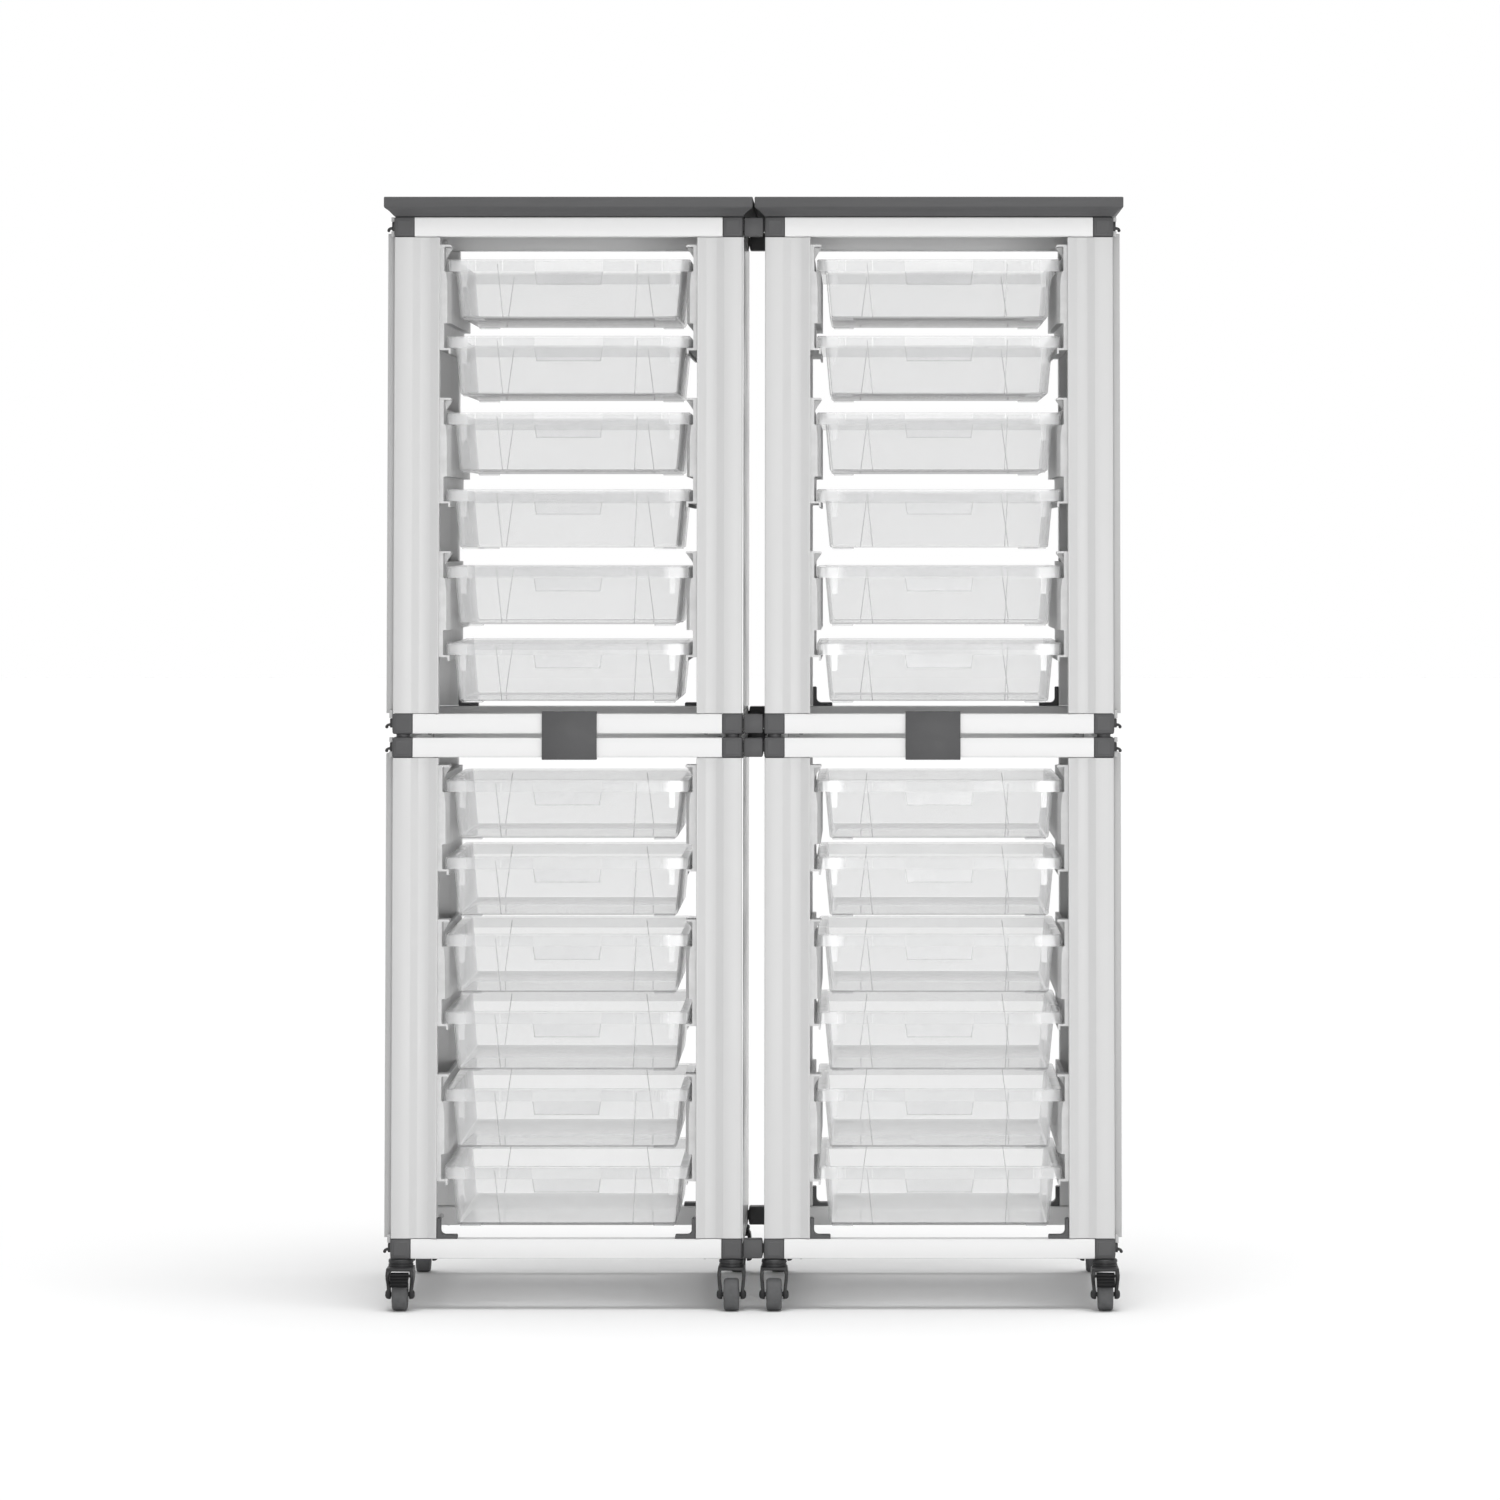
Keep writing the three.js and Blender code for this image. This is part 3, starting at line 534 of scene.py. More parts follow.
def closing(tree, entry, geometry):
    """Realizes what was made, gives it the material and sends it out."""
    real = new_node(tree, "GeometryNodeRealizeInstances", {"Geometry": geometry})
    inputs = {"Geometry": real.outputs["Geometry"], "Material": entry["Material"]}
    paint = new_node(tree, "GeometryNodeSetMaterial", inputs)
    new_node(tree, "NodeGroupOutput", {"Geometry": paint.outputs["Geometry"]})
    return tree


@cache
def rail_tree():
    """Sweeps a rounded square along every edge of the mesh that comes in."""
    tree, entry = new_tree("Swept rails", Side="Float", Radius="Float")
    path = new_node(tree, "GeometryNodeMeshToCurve", {"Mesh": entry["Geometry"]})
    inputs = {"Curve": path.outputs["Curve"]}
    upright = new_node(tree, "GeometryNodeSetCurveNormal", inputs, mode="Z_UP")
    inputs = {"Width": entry["Side"], "Height": entry["Side"]}
    square = new_node(tree, "GeometryNodeCurvePrimitiveQuadrilateral", inputs)
    inputs = {"Curve": square.outputs["Curve"], "Radius": entry["Radius"], "Count": 4}
    corner = new_node(tree, "GeometryNodeFilletCurve", inputs, mode="POLY")
    sweep = new_node(tree, "GeometryNodeCurveToMesh", {
        "Curve": upright.outputs["Curve"],
        "Profile Curve": corner.outputs["Curve"],
        "Fill Caps": True,
    })
    return closing(tree, entry, sweep.outputs["Mesh"])


@cache
def stack_tree():
    """Repeats the mesh that comes in downwards."""
    tree, entry = new_tree("Runner stack", Count="Int", Drop="Float")
    step = new_node(tree, "ShaderNodeCombineXYZ", {"Z": combined(tree, "MULTIPLY", entry["Drop"], -1.0)})
    inputs = {"Count": entry["Count"], "Offset": step.outputs["Vector"]}
    line = new_node(tree, "GeometryNodeMeshLine", inputs)
    inputs = {"Points": line.outputs["Mesh"], "Instance": entry["Geometry"]}
    copies = new_node(tree, "GeometryNodeInstanceOnPoints", inputs)
    return closing(tree, entry, copies.outputs["Instances"])


@cache
def screw_tree():
    """Sets a domed screw head on each point, facing along the point's own direction."""
    tree, entry = new_tree("Screw heads", Diameter="Float")
    radius = combined(tree, "MULTIPLY", entry["Diameter"], 0.5)
    ball = new_node(tree, "GeometryNodeMeshUVSphere", {"Segments": 14, "Rings": 8, "Radius": radius})
    inputs = {"Geometry": ball.outputs["Mesh"], "Scale": (1, 1, 0.45)}
    flat = new_node(tree, "GeometryNodeTransform", inputs)
    inputs = {"Name": "facing"}
    facing = new_node(tree, "GeometryNodeInputNamedAttribute", inputs, data_type="FLOAT_VECTOR")
    inputs = {"Vector": facing.outputs["Attribute"]}
    turn = new_node(tree, "FunctionNodeAlignRotationToVector", inputs, axis="Z")
    copies = new_node(tree, "GeometryNodeInstanceOnPoints", {
        "Points": entry["Geometry"],
        "Instance": flat.outputs["Geometry"],
        "Rotation": turn.outputs["Rotation"],
    })
    return closing(tree, entry, copies.outputs["Instances"])


def grown(name, mesh, maker, material, values, *nodes, smooth=35.0):
    """A piece of the fixed frame that a tree makes of a mesh, with the tree's inputs set by name."""
    tree = maker()
    values = {**values, "Material": finish(material)}
    seed = in_scene(name + "_seed", mesh)
    modifier = seed.modifiers.new("grow", "NODES")
    modifier.node_group = tree
    for item in tree.interface.items_tree:
        if item.in_out == "INPUT" and item.name in values:
            modifier[item.identifier] = values[item.name]
    bpy.context.view_layer.update()
    evaluated = seed.evaluated_get(bpy.context.evaluated_depsgraph_get())
    made = bpy.data.meshes.new_from_object(evaluated)
    made.name = name
    seed.modifiers.remove(modifier)
    bpy.data.objects.remove(seed)
    made.shade_smooth()
    made.set_sharp_from_angle(angle=math.radians(smooth))
    show(name, made, material, FRAME_BODY, "white_steel", *nodes)


def screws(name, places, material):
    """Screw heads at places, each with the direction that it faces, as one piece."""
    mesh = bpy.data.meshes.new(name + "_points")
    mesh.from_pydata([Vector(p) * MM for p, _ in places], [], [])
    facing = mesh.attributes.new("facing", "FLOAT_VECTOR", "POINT")
    facing.data.foreach_set("vector", [c for _, d in places for c in d])
    grown(name, mesh, screw_tree, material, {"Diameter": sizes().screw_diameter})


# Pieces


def board_form(x, z):
    """Top board with a bevelled underside, its lower face at z."""
    overhang, bevel, cove, thick = 12.8, 11.2, 1.1, 24.7
    low, high = HALF, HALF + overhang
    loops = []
    for half, height in ((low, 0), (low + overhang / 2, bevel / 2 + cove), (high, bevel), (high, thick)):
        square = [(half, half), (-half, half), (-half, -half), (half, -half)]
        loops.append([(x + a, b, z + height) for a, b in square])
    return rounded(loft(loops), millimetres(sizes().board_radius), 3)


def block_form(x, y, z):
    """Corner block with rounded edges."""
    half = BLOCK / 2
    shape = box((-half, -half, -half), (half, half, half))
    return moved(rounded(shape, millimetres(sizes().block_radius), 3), x, y, z)


def field_forms(x, y, z, directions):
    """Raised pads on the faces of a corner block, with a groove's width left round them."""
    half, pad, rise = BLOCK / 2, 8.6, 0.35
    made = []
    for dx, dy in directions:
        middle = (x + dx * half, y + dy * half, z)
        reach = [rise if d else pad for d in (dx, dy, 0)]
        low, high = ([m + end * r for m, r in zip(middle, reach)] for end in ENDS)
        made.append(rounded(box(low, high), 0.3, 1))
    return made


class TRAYUNIT_OT_boards(Operator):
    """Top boards with a bevelled underside"""

    bl_idname = "tray_unit.boards"
    bl_label = "Top boards"

    def execute(self, context):
        for name, level, _, x, base in modules():
            if level == "upper":
                column = name.split("_")[1]
                form = Form().add(board_form(x, base + HEIGHT + SEAT))
                mesh = plain_mesh(f"board_{column}", form, 25.0)
                show(f"board_{column}", mesh, "board", FRAME_BODY, "dark_board", f"top_board_{column}")
        return {"FINISHED"}


class TRAYUNIT_OT_rings(Operator):
    """Rings of corner blocks and square-tube rails"""

    bl_idname = "tray_unit.rings"
    bl_label = "Rings of blocks and rails"

    def execute(self, context):
        inner = HALF - BLOCK
        for name, _, _, x, base in modules():
            for ring, height in RINGS.items():
                middle = base + height + BLOCK / 2
                ends = []
                for at in (-BLOCK_AT, BLOCK_AT):
                    ends += [(x - inner, at, middle), (x + inner, at, middle)]
                    ends += [(x + at, -inner, middle), (x + at, inner, middle)]
                path = bpy.data.meshes.new("path")
                points = [Vector(p) * MM for p in ends]
                path.from_pydata(points, [(i, i + 1) for i in range(0, len(points), 2)], [])
                node = f"{name}_{ring}"
                values = {"Side": TUBE * MM, "Radius": sizes().tube_radius}
                grown(f"{node}_rails", path, rail_tree, "rail", values, node)
                shapes = []
                for sx, sy in CORNERS:
                    place = (x + sx * BLOCK_AT, sy * BLOCK_AT, middle)
                    shapes += [block_form(*place), *field_forms(*place, [(sx, 0), (0, sy)])]
                frame_piece(f"{node}_blocks", shapes, "block", node)
        return {"FINISHED"}


def upright_section():
    """Tube and a web grooved on both faces, from the outer face inwards, with the front face at 0."""
    edge = 1.6
    groove = [(24.4, 0.3), (32.4, 3.7), (33.8, 4.0), (46.2, 4.0), (47.6, 3.7), (55.8, 0.3)]
    section = arc((INSET + edge, edge), edge, 180, 270, 3)
    section += [(23.2, 0), *groove, (57, 0)]
    section += arc((UPRIGHT - 0.9, 0.9), 0.9, -90, 0, 2)
    section += arc((UPRIGHT - edge, TUBE - edge), edge, 0, 90, 3)
    section += [(a, TUBE - depth) for a, depth in reversed(groove)] + [(23.2, TUBE)]
    section += arc((INSET + edge, TUBE - edge), edge, 90, 180, 3)
    return section


RUNNER_PLATE = 13.5


def runner_section(lipped):
    """Points of a double runner from its back, seen from the front, the upper ledge at height 0."""
    wall, plate, skin, low = 5.0, RUNNER_PLATE, 2.5, -TRAY_PITCH
    section = [(-0.4, low - skin), (plate - skin, low - skin), (plate - skin, low - 7), (plate, low - 7)]
    section += [(plate, low), (wall + 1, low), (wall, low + 1), (wall, low + 31), (wall + 1, low + 32)]
    section += [(plate, -e) for e in (66.0, 23.0, 16.0, 11.0, 6.5, 3.0, 0.0)]
    section += [(wall + 1, 0), (wall, 1)]
    if lipped:
        section += [(wall, 31), (wall + 1, 32), (12.0, 32), (13.2, 31.2)]
        section += [(14.3, 31.6), (14.3, 33.2), (13.4, 34.5)]
    else:
        section += [(wall, e) for e in (14.0, 16.0, 17.0, 18.0, 19.0, 20.5)] + [(wall - 0.5, 21.0)]
    return section + [(-0.4, section[-1][1])]


def runner_form():
    """Double runner on the left: high with a lip at its front, and a plate whose front end falls back."""
    front, back, lead, fall_back, scoop, lip = -215.0, 215.0, 20.0, 4.3, 2.2, 40.0
    stations = [(front + lead * t, True) for t in (0, 0.12, 0.3, 0.6, 1.0)]
    stations += [(front + lip - 1.5, True), (front + lip, False), (back, False)]
    loops = []
    for y, lipped in stations:
        near = max(0.0, 1 - (y - front) / lead)
        loop = []
        for a, b in runner_section(lipped):
            if a == RUNNER_PLATE and -66 <= b <= 0:
                a -= near * (fall_back + scoop * max(0.0, 1 + b / 23) ** 2)
            loop.append((a, y, b))
        loops.append(loop)
    return loft(loops)


class TRAYUNIT_OT_sides(Operator):
    """Side walls: grooved uprights, double runners, end panels"""

    bl_idname = "tray_unit.sides"
    bl_label = "Uprights, runners and end panels"

    def execute(self, context):
        low, high = BLOCK + SEAT, HEIGHT - BLOCK - SEAT
        section = upright_section()
        for name, _, sign, x, base in modules():
            for place, side in (("outer", sign), ("inner", -sign)):
                node = f"{name}_{place}_side"
                # The back uprights take the whiter rail paint, not the front uprights' grey: painted light
                # that lifts the shade inside the module.
                for part, material in (("front_upright", "upright"), ("back_upright", "rail")):
                    shape = prism(section, base + low, base + high, "Z")
                    shape = moved(shape, -HALF, -HALF + INSET)
                    if part == "back_upright":
                        shape = moved(moved(shape, turn=True), mirror=True)
                    shapes = [moved(shape, x, mirror=side > 0)]
                    frame_piece(f"{node}_{part}", shapes, material, node, smooth=20.0)

                first = moved(runner_form(), -HALF + UPRIGHT, 0, base + TOP_LEDGE)
                seed = plain_mesh("runner", Form().add(moved(first, x, mirror=side > 0)), 25.0)
                values = {"Count": sizes().runner_pairs, "Drop": 2 * TRAY_PITCH * MM}
                grown(f"{node}_runners", seed, stack_tree, "runner", values, node, smooth=25.0)
                # A pale glossy sheet on the left column's inner side only, there to make the shaded gap
                # between the columns read light: a stand-in for light that does not reach it.
                if place == "inner" and sign < 0:
                    sheet = box((-HALF - 1.0, 3 - HALF, base + low), (-HALF + 0.45, HALF - 3, base + high))
                    frame_piece(f"{node}_sheet", [moved(rounded(sheet, 0.3, 1), x, mirror=True)], "sheet")
                if place == "outer":
                    names = (("panel", "rail"), ("bands", "panel"))
                    for (part, material), shapes in zip(names, panel_forms()):
                        shapes = [moved(shape, x, 0, base, mirror=side > 0) for shape in shapes]
                        frame_piece(f"{node}_{part}", shapes, material, node, smooth=25.0)
        return {"FINISHED"}


def panel_forms():
    """End panel on the left: its board and battens, then its edge bands and tongues."""
    reach, face, back, band = 203.0, -HALF - 9.0, -HALF - SEAT, 1.0
    low, high = BLOCK, HEIGHT - BLOCK + 5.0
    board = [rounded(box((face, -reach + band, low + band), (back, reach - band, high - band)), 0.3, 1)]
    for y in (-reach + band, reach - band - 12):
        board.append(box((back - 0.5, y, low + 10), (-HALF + 1, y + 12, high - 15)))
    edges = []
    for start, end in ((-reach, band - reach), (reach - band, reach)):
        edges.append(rounded(box((face, start, low), (back, end, high)), 0.45, 2))
    for foot, head in ((low, low + band), (high - band, high)):
        edges.append(rounded(box((face, band - reach, foot), (back, reach - band, head)), 0.45, 2))
    tip = BLOCK_AT + 4.0
    for start, end in ((-tip, 0.5 - reach), (reach - 0.5, tip)):
        for foot, head in ((20.0, low + 4), (high - 4, 641.6), (653.9, 659.6)):
            edges.append(rounded(box((-HALF - 4.5, start, foot), (back, end, head)), 0.4, 1))
    return board, edges


def hook_form():
    """Hook on the right face of a block: a flange, a short arm and a ball end, about its middle."""
    flange = rounded(box((-0.5, -5, -5.0), (3.6, 5, 6.6)), 0.9, 2)
    arm = [(2.8, 0.6), (6.0, 0.0), (8.6, -1.4), (9.6, -3.4), (7.0, -4.4), (5.6, -3.2), (2.8, -3.2)]
    arm = rounded(prism(arm, -3.4, 3.4, "Y"), 0.5, 2)
    profile = [(0, -2.1)] + arc((0, 0), 2.1, -75, 75, 8) + [(0, 2.1)]
    ball = turned([(max(0.0, r), h) for r, h in profile], 14)
    ball = [(p[0] + 7.95, p[1] * 1.7, p[2] - 4.2) for p in ball[0]], ball[1]
    return [flange, arm, ball]


def coupling_forms():
    """Block between two columns with a stub to each side, about the gap's middle."""
    body = rounded(box((-12, -12, -12), (12, 12, 12)), 1.6, 2)
    stub = rounded(box((-14.3, -6, -6), (13.7, 6, 6)), 0.8, 1)
    rim = rounded(box((-12.6, -9, -9), (12.6, 9, 9)), 0.6, 1)
    return [body, stub, rim]


def gusset_form():
    """L-shaped gusset in a left corner, with a rounded inner corner."""
    leg, wall, fillet = 26.0, 5.0, 6.0
    section = [(0, 0), (leg, 0), (leg, wall - 1), (leg - 1, wall)]
    section += arc((wall + fillet, wall + fillet), fillet, 270, 180, 6)
    section += [(wall, leg - 1), (wall - 1, leg), (0, leg)]
    return rounded(prism(section, -10, 10, "Y"), 0.5, 1)


def clip_form(shift):
    """C-shaped stacking clip round two rails, from the lower module's top ring."""
    sheet, face, back = 3.0, -HALF + INSET - SEAT, -HALF + INSET + TUBE / 2
    low, high = HEIGHT - BLOCK + INSET - 0.05, HEIGHT + STACK_GAP + BLOCK - INSET + SEAT
    foot = HEIGHT - BLOCK + INSET - sheet
    section = [
        (face - sheet, foot), (back, foot), (back, low), (face, low),
        (face, high), (back, high), (back, high + sheet), (face - sheet, high + sheet),
    ]
    return rounded(prism(section, shift - 35, shift + 35, "X"), 0.9, 2)


class TRAYUNIT_OT_fittings(Operator):
    """Hooks, couplings, spacers, gussets, stacking clips and screws"""

    bl_idname = "tray_unit.fittings"
    bl_label = "Hooks, couplings, gussets and clips"

    def execute(self, context):
        for name, level, sign, x, base in modules():
            for ring, height in RINGS.items():
                node = f"{name}_{ring}"
                middle = base + height + BLOCK / 2
                shapes = [
                    moved(shape, x + sign * HALF, end * BLOCK_AT, middle, mirror=sign < 0)
                    for end in ENDS for shape in hook_form()
                ]
                frame_piece(f"{node}_hooks", shapes, "caster", node)
                if sign < 0:
                    shapes = [
                        moved(shape, x + HALF + COLUMN_GAP / 2, end * BLOCK_AT, middle)
                        for end in ENDS for shape in coupling_forms()
                    ]
                    frame_piece(f"{node}_couplings", shapes, "block", node)
            if level == "lower":
                self.stack_fittings(name, x, base)
            self.gussets(name, level, x, base)
            self.small_screws(name, x, base)
        return {"FINISHED"}

    def stack_fittings(self, name, x, base):
        node = f"{name}_top_ring"
        head = STACK_GAP - SEAT
        neck = [(0, -0.5), (9, -0.5), (9, 0.5), (8.6, 0.9)]
        neck += [(8.6, head - 0.9), (9, head - 0.5), (9, head), (0, head)]
        neck = turned(neck, 20)
        shapes = [moved(neck, x + sx * BLOCK_AT, sy * BLOCK_AT, base + HEIGHT) for sx, sy in CORNERS]
        frame_piece(f"{node}_spacers", shapes, "block", node)
        shift = {"left": 2.5, "right": -8.0}[name.split("_")[1]]
        frame_piece(f"{node}_clip", [moved(clip_form(shift), x, 0, base)], "block", node)

    def gussets(self, name, level, x, base):
        node = f"{name}_base_ring"
        inner = HALF - UPRIGHT - SEAT
        shapes = [
            moved(gusset_form(), x + side * inner, end * BLOCK_AT, base + TUBE + 0.2, mirror=side > 0)
            for end in (ENDS if level == "lower" else (1,)) for side in ENDS
        ]
        frame_piece(f"{node}_gussets", shapes, "block", node)

    def small_screws(self, name, x, base):
        below, inside = HALF - 47.0, HALF - 38.5
        places = [((x + side * below, end * BLOCK_AT, base + INSET), (0, 0, -1)) for side, end in CORNERS]
        screws(f"{name}_screws", places, "caster")
        places = [
            ((x + side * inside, HALF - INSET - TUBE, base + height), (0, -1, 0))
            for side in ENDS for height in (BLOCK / 2, HEIGHT - BLOCK / 2)
        ]
        screws(f"{name}_plugs", places, "runner")


# Trays

RIM_X, RIM_Y, RIM_CORNER = 156.0, 213.5, 9.0
STRAIGHT = RIM_X - RIM_CORNER
FLAP_HALF = (44.0, 41.5)  # half of the grip flap's width at its root and its tip
FLAP_DROP, TAB_DROP = 17.0, 20.0  # below the skirt
TAB = (129.5, 130.2, 136.8, 137.5)  # from the middle to a corner tab's sides
TICKS = (0.0, 42.8, 85.0, 119.5)  # thin places in the front skirt
RIM_END = 129.0  # the skirt is milky from here to the corner
RIM_MARK, TIP_MARK, MILKY_MARK = 0.1, 0.22, 0.4  # how thick the rim, the skirt's tip and its corners look
FLOOR_MARK = 0.8 * THIN
TICK_EDGES = [t + e for t in TICKS for e in (-1.1, -0.6, 0.6, 1.1) if t + e > 0]
TRAY_STOPS = sorted([*FLAP_HALF, *TAB, *TICK_EDGES, STRAIGHT])


def tray_loop(half_x, half_y, radius, height, hang=None):
    """A rounded rectangle with stops along its front and back, where the skirt may hang lower."""
    loop = []
    share = (half_x - radius) / STRAIGHT
    stops = [-s for s in TRAY_STOPS[::-1]] + TRAY_STOPS
    for corner, (sx, sy) in enumerate(((1, 1), (-1, 1), (-1, -1), (1, -1))):
        centre = (sx * (half_x - radius), sy * (half_y - radius))
        for a, b in arc(centre, radius, 90 * corner, 90 * corner + 90, 6):
            loop.append((a, b, height))
        if corner in (0, 2):
            for stop in (stops[::-1] if corner == 0 else stops)[1:-1]:
                drop = hang(abs(stop), sy) if hang else 0.0
                loop.append((stop * share, sy * half_y, height - drop))
    return loop


def skirt_hang(place, end):
    """How much lower the skirt hangs: the grip flap in the middle of the front, a tab near its corners."""
    if end > 0:
        return 0.0
    root, tip = FLAP_HALF
    if place < root:
        return FLAP_DROP * min(1.0, (root - place) / (root - tip))
    return TAB_DROP if TAB[0] < place < TAB[3] else 0.0


def skirt_root(place, end):
    return min(0.3, skirt_hang(place, end))


def skirt_mark(point):
    """How thick the skirt looks at a point: milky at the corners, thin at the ticks, and thin over the flap,
    which paints a highlight there.
    """
    x, y, _ = point
    if y < 3 - RIM_Y and abs(x) > RIM_END:
        return MILKY_MARK
    if abs(y) < RIM_Y - 3:
        return RIM_MARK
    if y < 0 and any(abs(abs(x) - tick) < 0.7 for tick in TICKS):
        return 0.6 * THIN
    # Over the flap the skirt is marked thinner so that it reads lighter: a painted highlight.
    return 0.5 * THIN if y < 0 and abs(x) < FLAP_HALF[1] + 0.1 else RIM_MARK


def skirt_painted_shading(point):
    """Painted shading on the skirt: greyer along the front and back, paler along the sides and at the front
    corners.
    """
    x, y, _ = point
    if y < 3 - RIM_Y and abs(x) > RIM_END:
        return -0.4
    return 0.25 if abs(y) > RIM_Y - 3 else -0.3


def tray_form():
    """Clear tray: floor, sloping walls, a rim with a skirt at height 0, ribs and feet.

    A row has an outline, its inset and height, and marks for thickness and for painted shading; None follows
    the skirt.
    """
    top, under, base = 15.5, 13.0, -59.0
    body_y, foot_x, foot_y, wall, skirt = 204.0, 139.7, 197.2, 2.2, 2.4
    foot, body = (foot_x, foot_y, 6.0), (146.5, body_y, 6.0)
    edge = (RIM_X, RIM_Y, RIM_CORNER)
    rows = [
        # The floor's underside rows carry painted shade and its top rows painted light.
        (foot, 5.0, base, FLOOR_MARK, PAINTED_SHADE),
        (foot, 2.2, base, RIM_MARK, PAINTED_SHADE),
        (foot, 0.7, base + 0.6, 0.3, 0.4),
        (foot, -0.2, base + 2.4, 0.0, 0.0),
        (body, 0.2, under - 1.2, 0.0, 0.0),
        (body, -1.0, under, RIM_MARK, 0.0),
        (edge, skirt, under, None, None),
        (edge, skirt, 0.6, None, None),
        (edge, skirt, 0.3, RIM_MARK, None, skirt_root),
        (edge, skirt, 0.0, TIP_MARK, None, skirt_hang),
        (edge, 0.0, 0.0, TIP_MARK, None, skirt_hang),
        (edge, 0.0, 0.3, RIM_MARK, None, skirt_root),
        (edge, 0.0, 0.6, None, None),
        (edge, 0.0, top - 1.2, None, None),
        (edge, 1.2, top, RIM_MARK, None),
        (body, 0.6, top, RIM_MARK, 0.0),
        (body, wall + 0.2, top - 1.2, RIM_MARK, 0.0),
        (foot, wall - 0.1, base + 4.0, 0.0, 0.0),
        (foot, wall + 1.0, base + wall + 0.5, FLOOR_MARK, PAINTED_LIGHT),
        (foot, wall + 3.0, base + wall, FLOOR_MARK, PAINTED_LIGHT),
    ]
    loops, thick, tone = [], [], []
    for outline, inset, z, mark, shade, *hang in rows:
        points = tray_loop(*(size - inset for size in outline), z, *hang)
        loops.append(points)
        thick.extend(skirt_mark(p) if mark is None else mark for p in points)
        tone.extend(skirt_painted_shading(p) if shade is None else shade for p in points)
    form = Form().add(loft(loops), thickness=thick, tone=tone)
    # The flap's beads carry some painted shade.
    for shape in flap_beads():
        form.add(shape, thickness=0.3, tone=0.6 * PAINTED_SHADE)
    for end in ENDS:
        for side, high, low in ((-1, 92.0, 85.0), (1, 88.0, 84.0)):
            low = low if end < 0 else high + 9
            rib = wall_rib(side * high, side * low, end, body_y, foot_y, under, base)
            # The wall ribs carry some painted shade.
            form.add(rib, thickness=0.4, tone=0.45 * PAINTED_SHADE)
        for side in ENDS:
            xs = sorted((side * (foot_x - 3), side * (foot_x - 30)))
            ys = sorted((end * (foot_y - 3), end * (foot_y - 30)))
            pad = rounded(box((xs[0], ys[0], base - 2.0), (xs[1], ys[1], base - 0.05)), 0.6, 1)
            form.add(pad, thickness=0.3)
    return form


def flap_beads():
    """Fine beads along the sides and the tip of the grip flap."""
    half, near, far = 0.5, -RIM_Y - 0.15, -RIM_Y + 0.6
    root, tip = FLAP_HALF
    made = [box((0.5 - tip, near, -FLAP_DROP), (tip - 0.5, far, 2 * half - FLAP_DROP))]
    for side in ENDS:
        section = [(side * (root - 0.4), -0.2), (side * (root - 1.4), -0.2)]
        section += [(side * (tip - 1.4), -FLAP_DROP), (side * (tip - 0.4), -FLAP_DROP)]
        made.append(prism(section, near, far, "Y"))
    return made


def wall_rib(top_x, low_x, end, body_y, foot_y, under, base):
    """Thin slanting rib on the outside of a front or back wall."""
    half, sunk, proud = 0.7, -0.3, 0.9
    section = ((-half, sunk), (half, sunk), (half, proud), (-half, proud))
    places = ((low_x, foot_y, base + 1), (top_x, body_y - 0.3, under - 3))
    return loft([[(x + dx, end * (y + dy), z) for dx, dy in section] for x, y, z in places])


class TRAYUNIT_OT_trays(Operator):
    """Clear pull-out trays"""

    bl_idname = "tray_unit.trays"
    bl_label = "Clear trays"

    def execute(self, context):
        pattern = plain_mesh("tray", tray_form(), 40.0)
        for name, _, _, x, base in modules():
            for row in ROWS:
                node, label = f"{name}_tray_{row}", f"tray_{name}_{row}"
                mesh = pattern.copy()
                mesh.name = label
                z = base + TOP_LEDGE - (row - 1) * TRAY_PITCH + SEAT
                mesh.transform(Matrix.Translation(Vector((x, 0, z)) * MM))
                piece = show(label, mesh, "tray", node, "clear_plastic", node)
                piece.visible_shadow = False
        bpy.data.meshes.remove(pattern)
        return {"FINISHED"}


# Casters

TRAIL, AXLE_Z = 16.0, 20.5
PEDAL_PIN = (-26.0, 44.5)  # ahead of the kingpin, and height


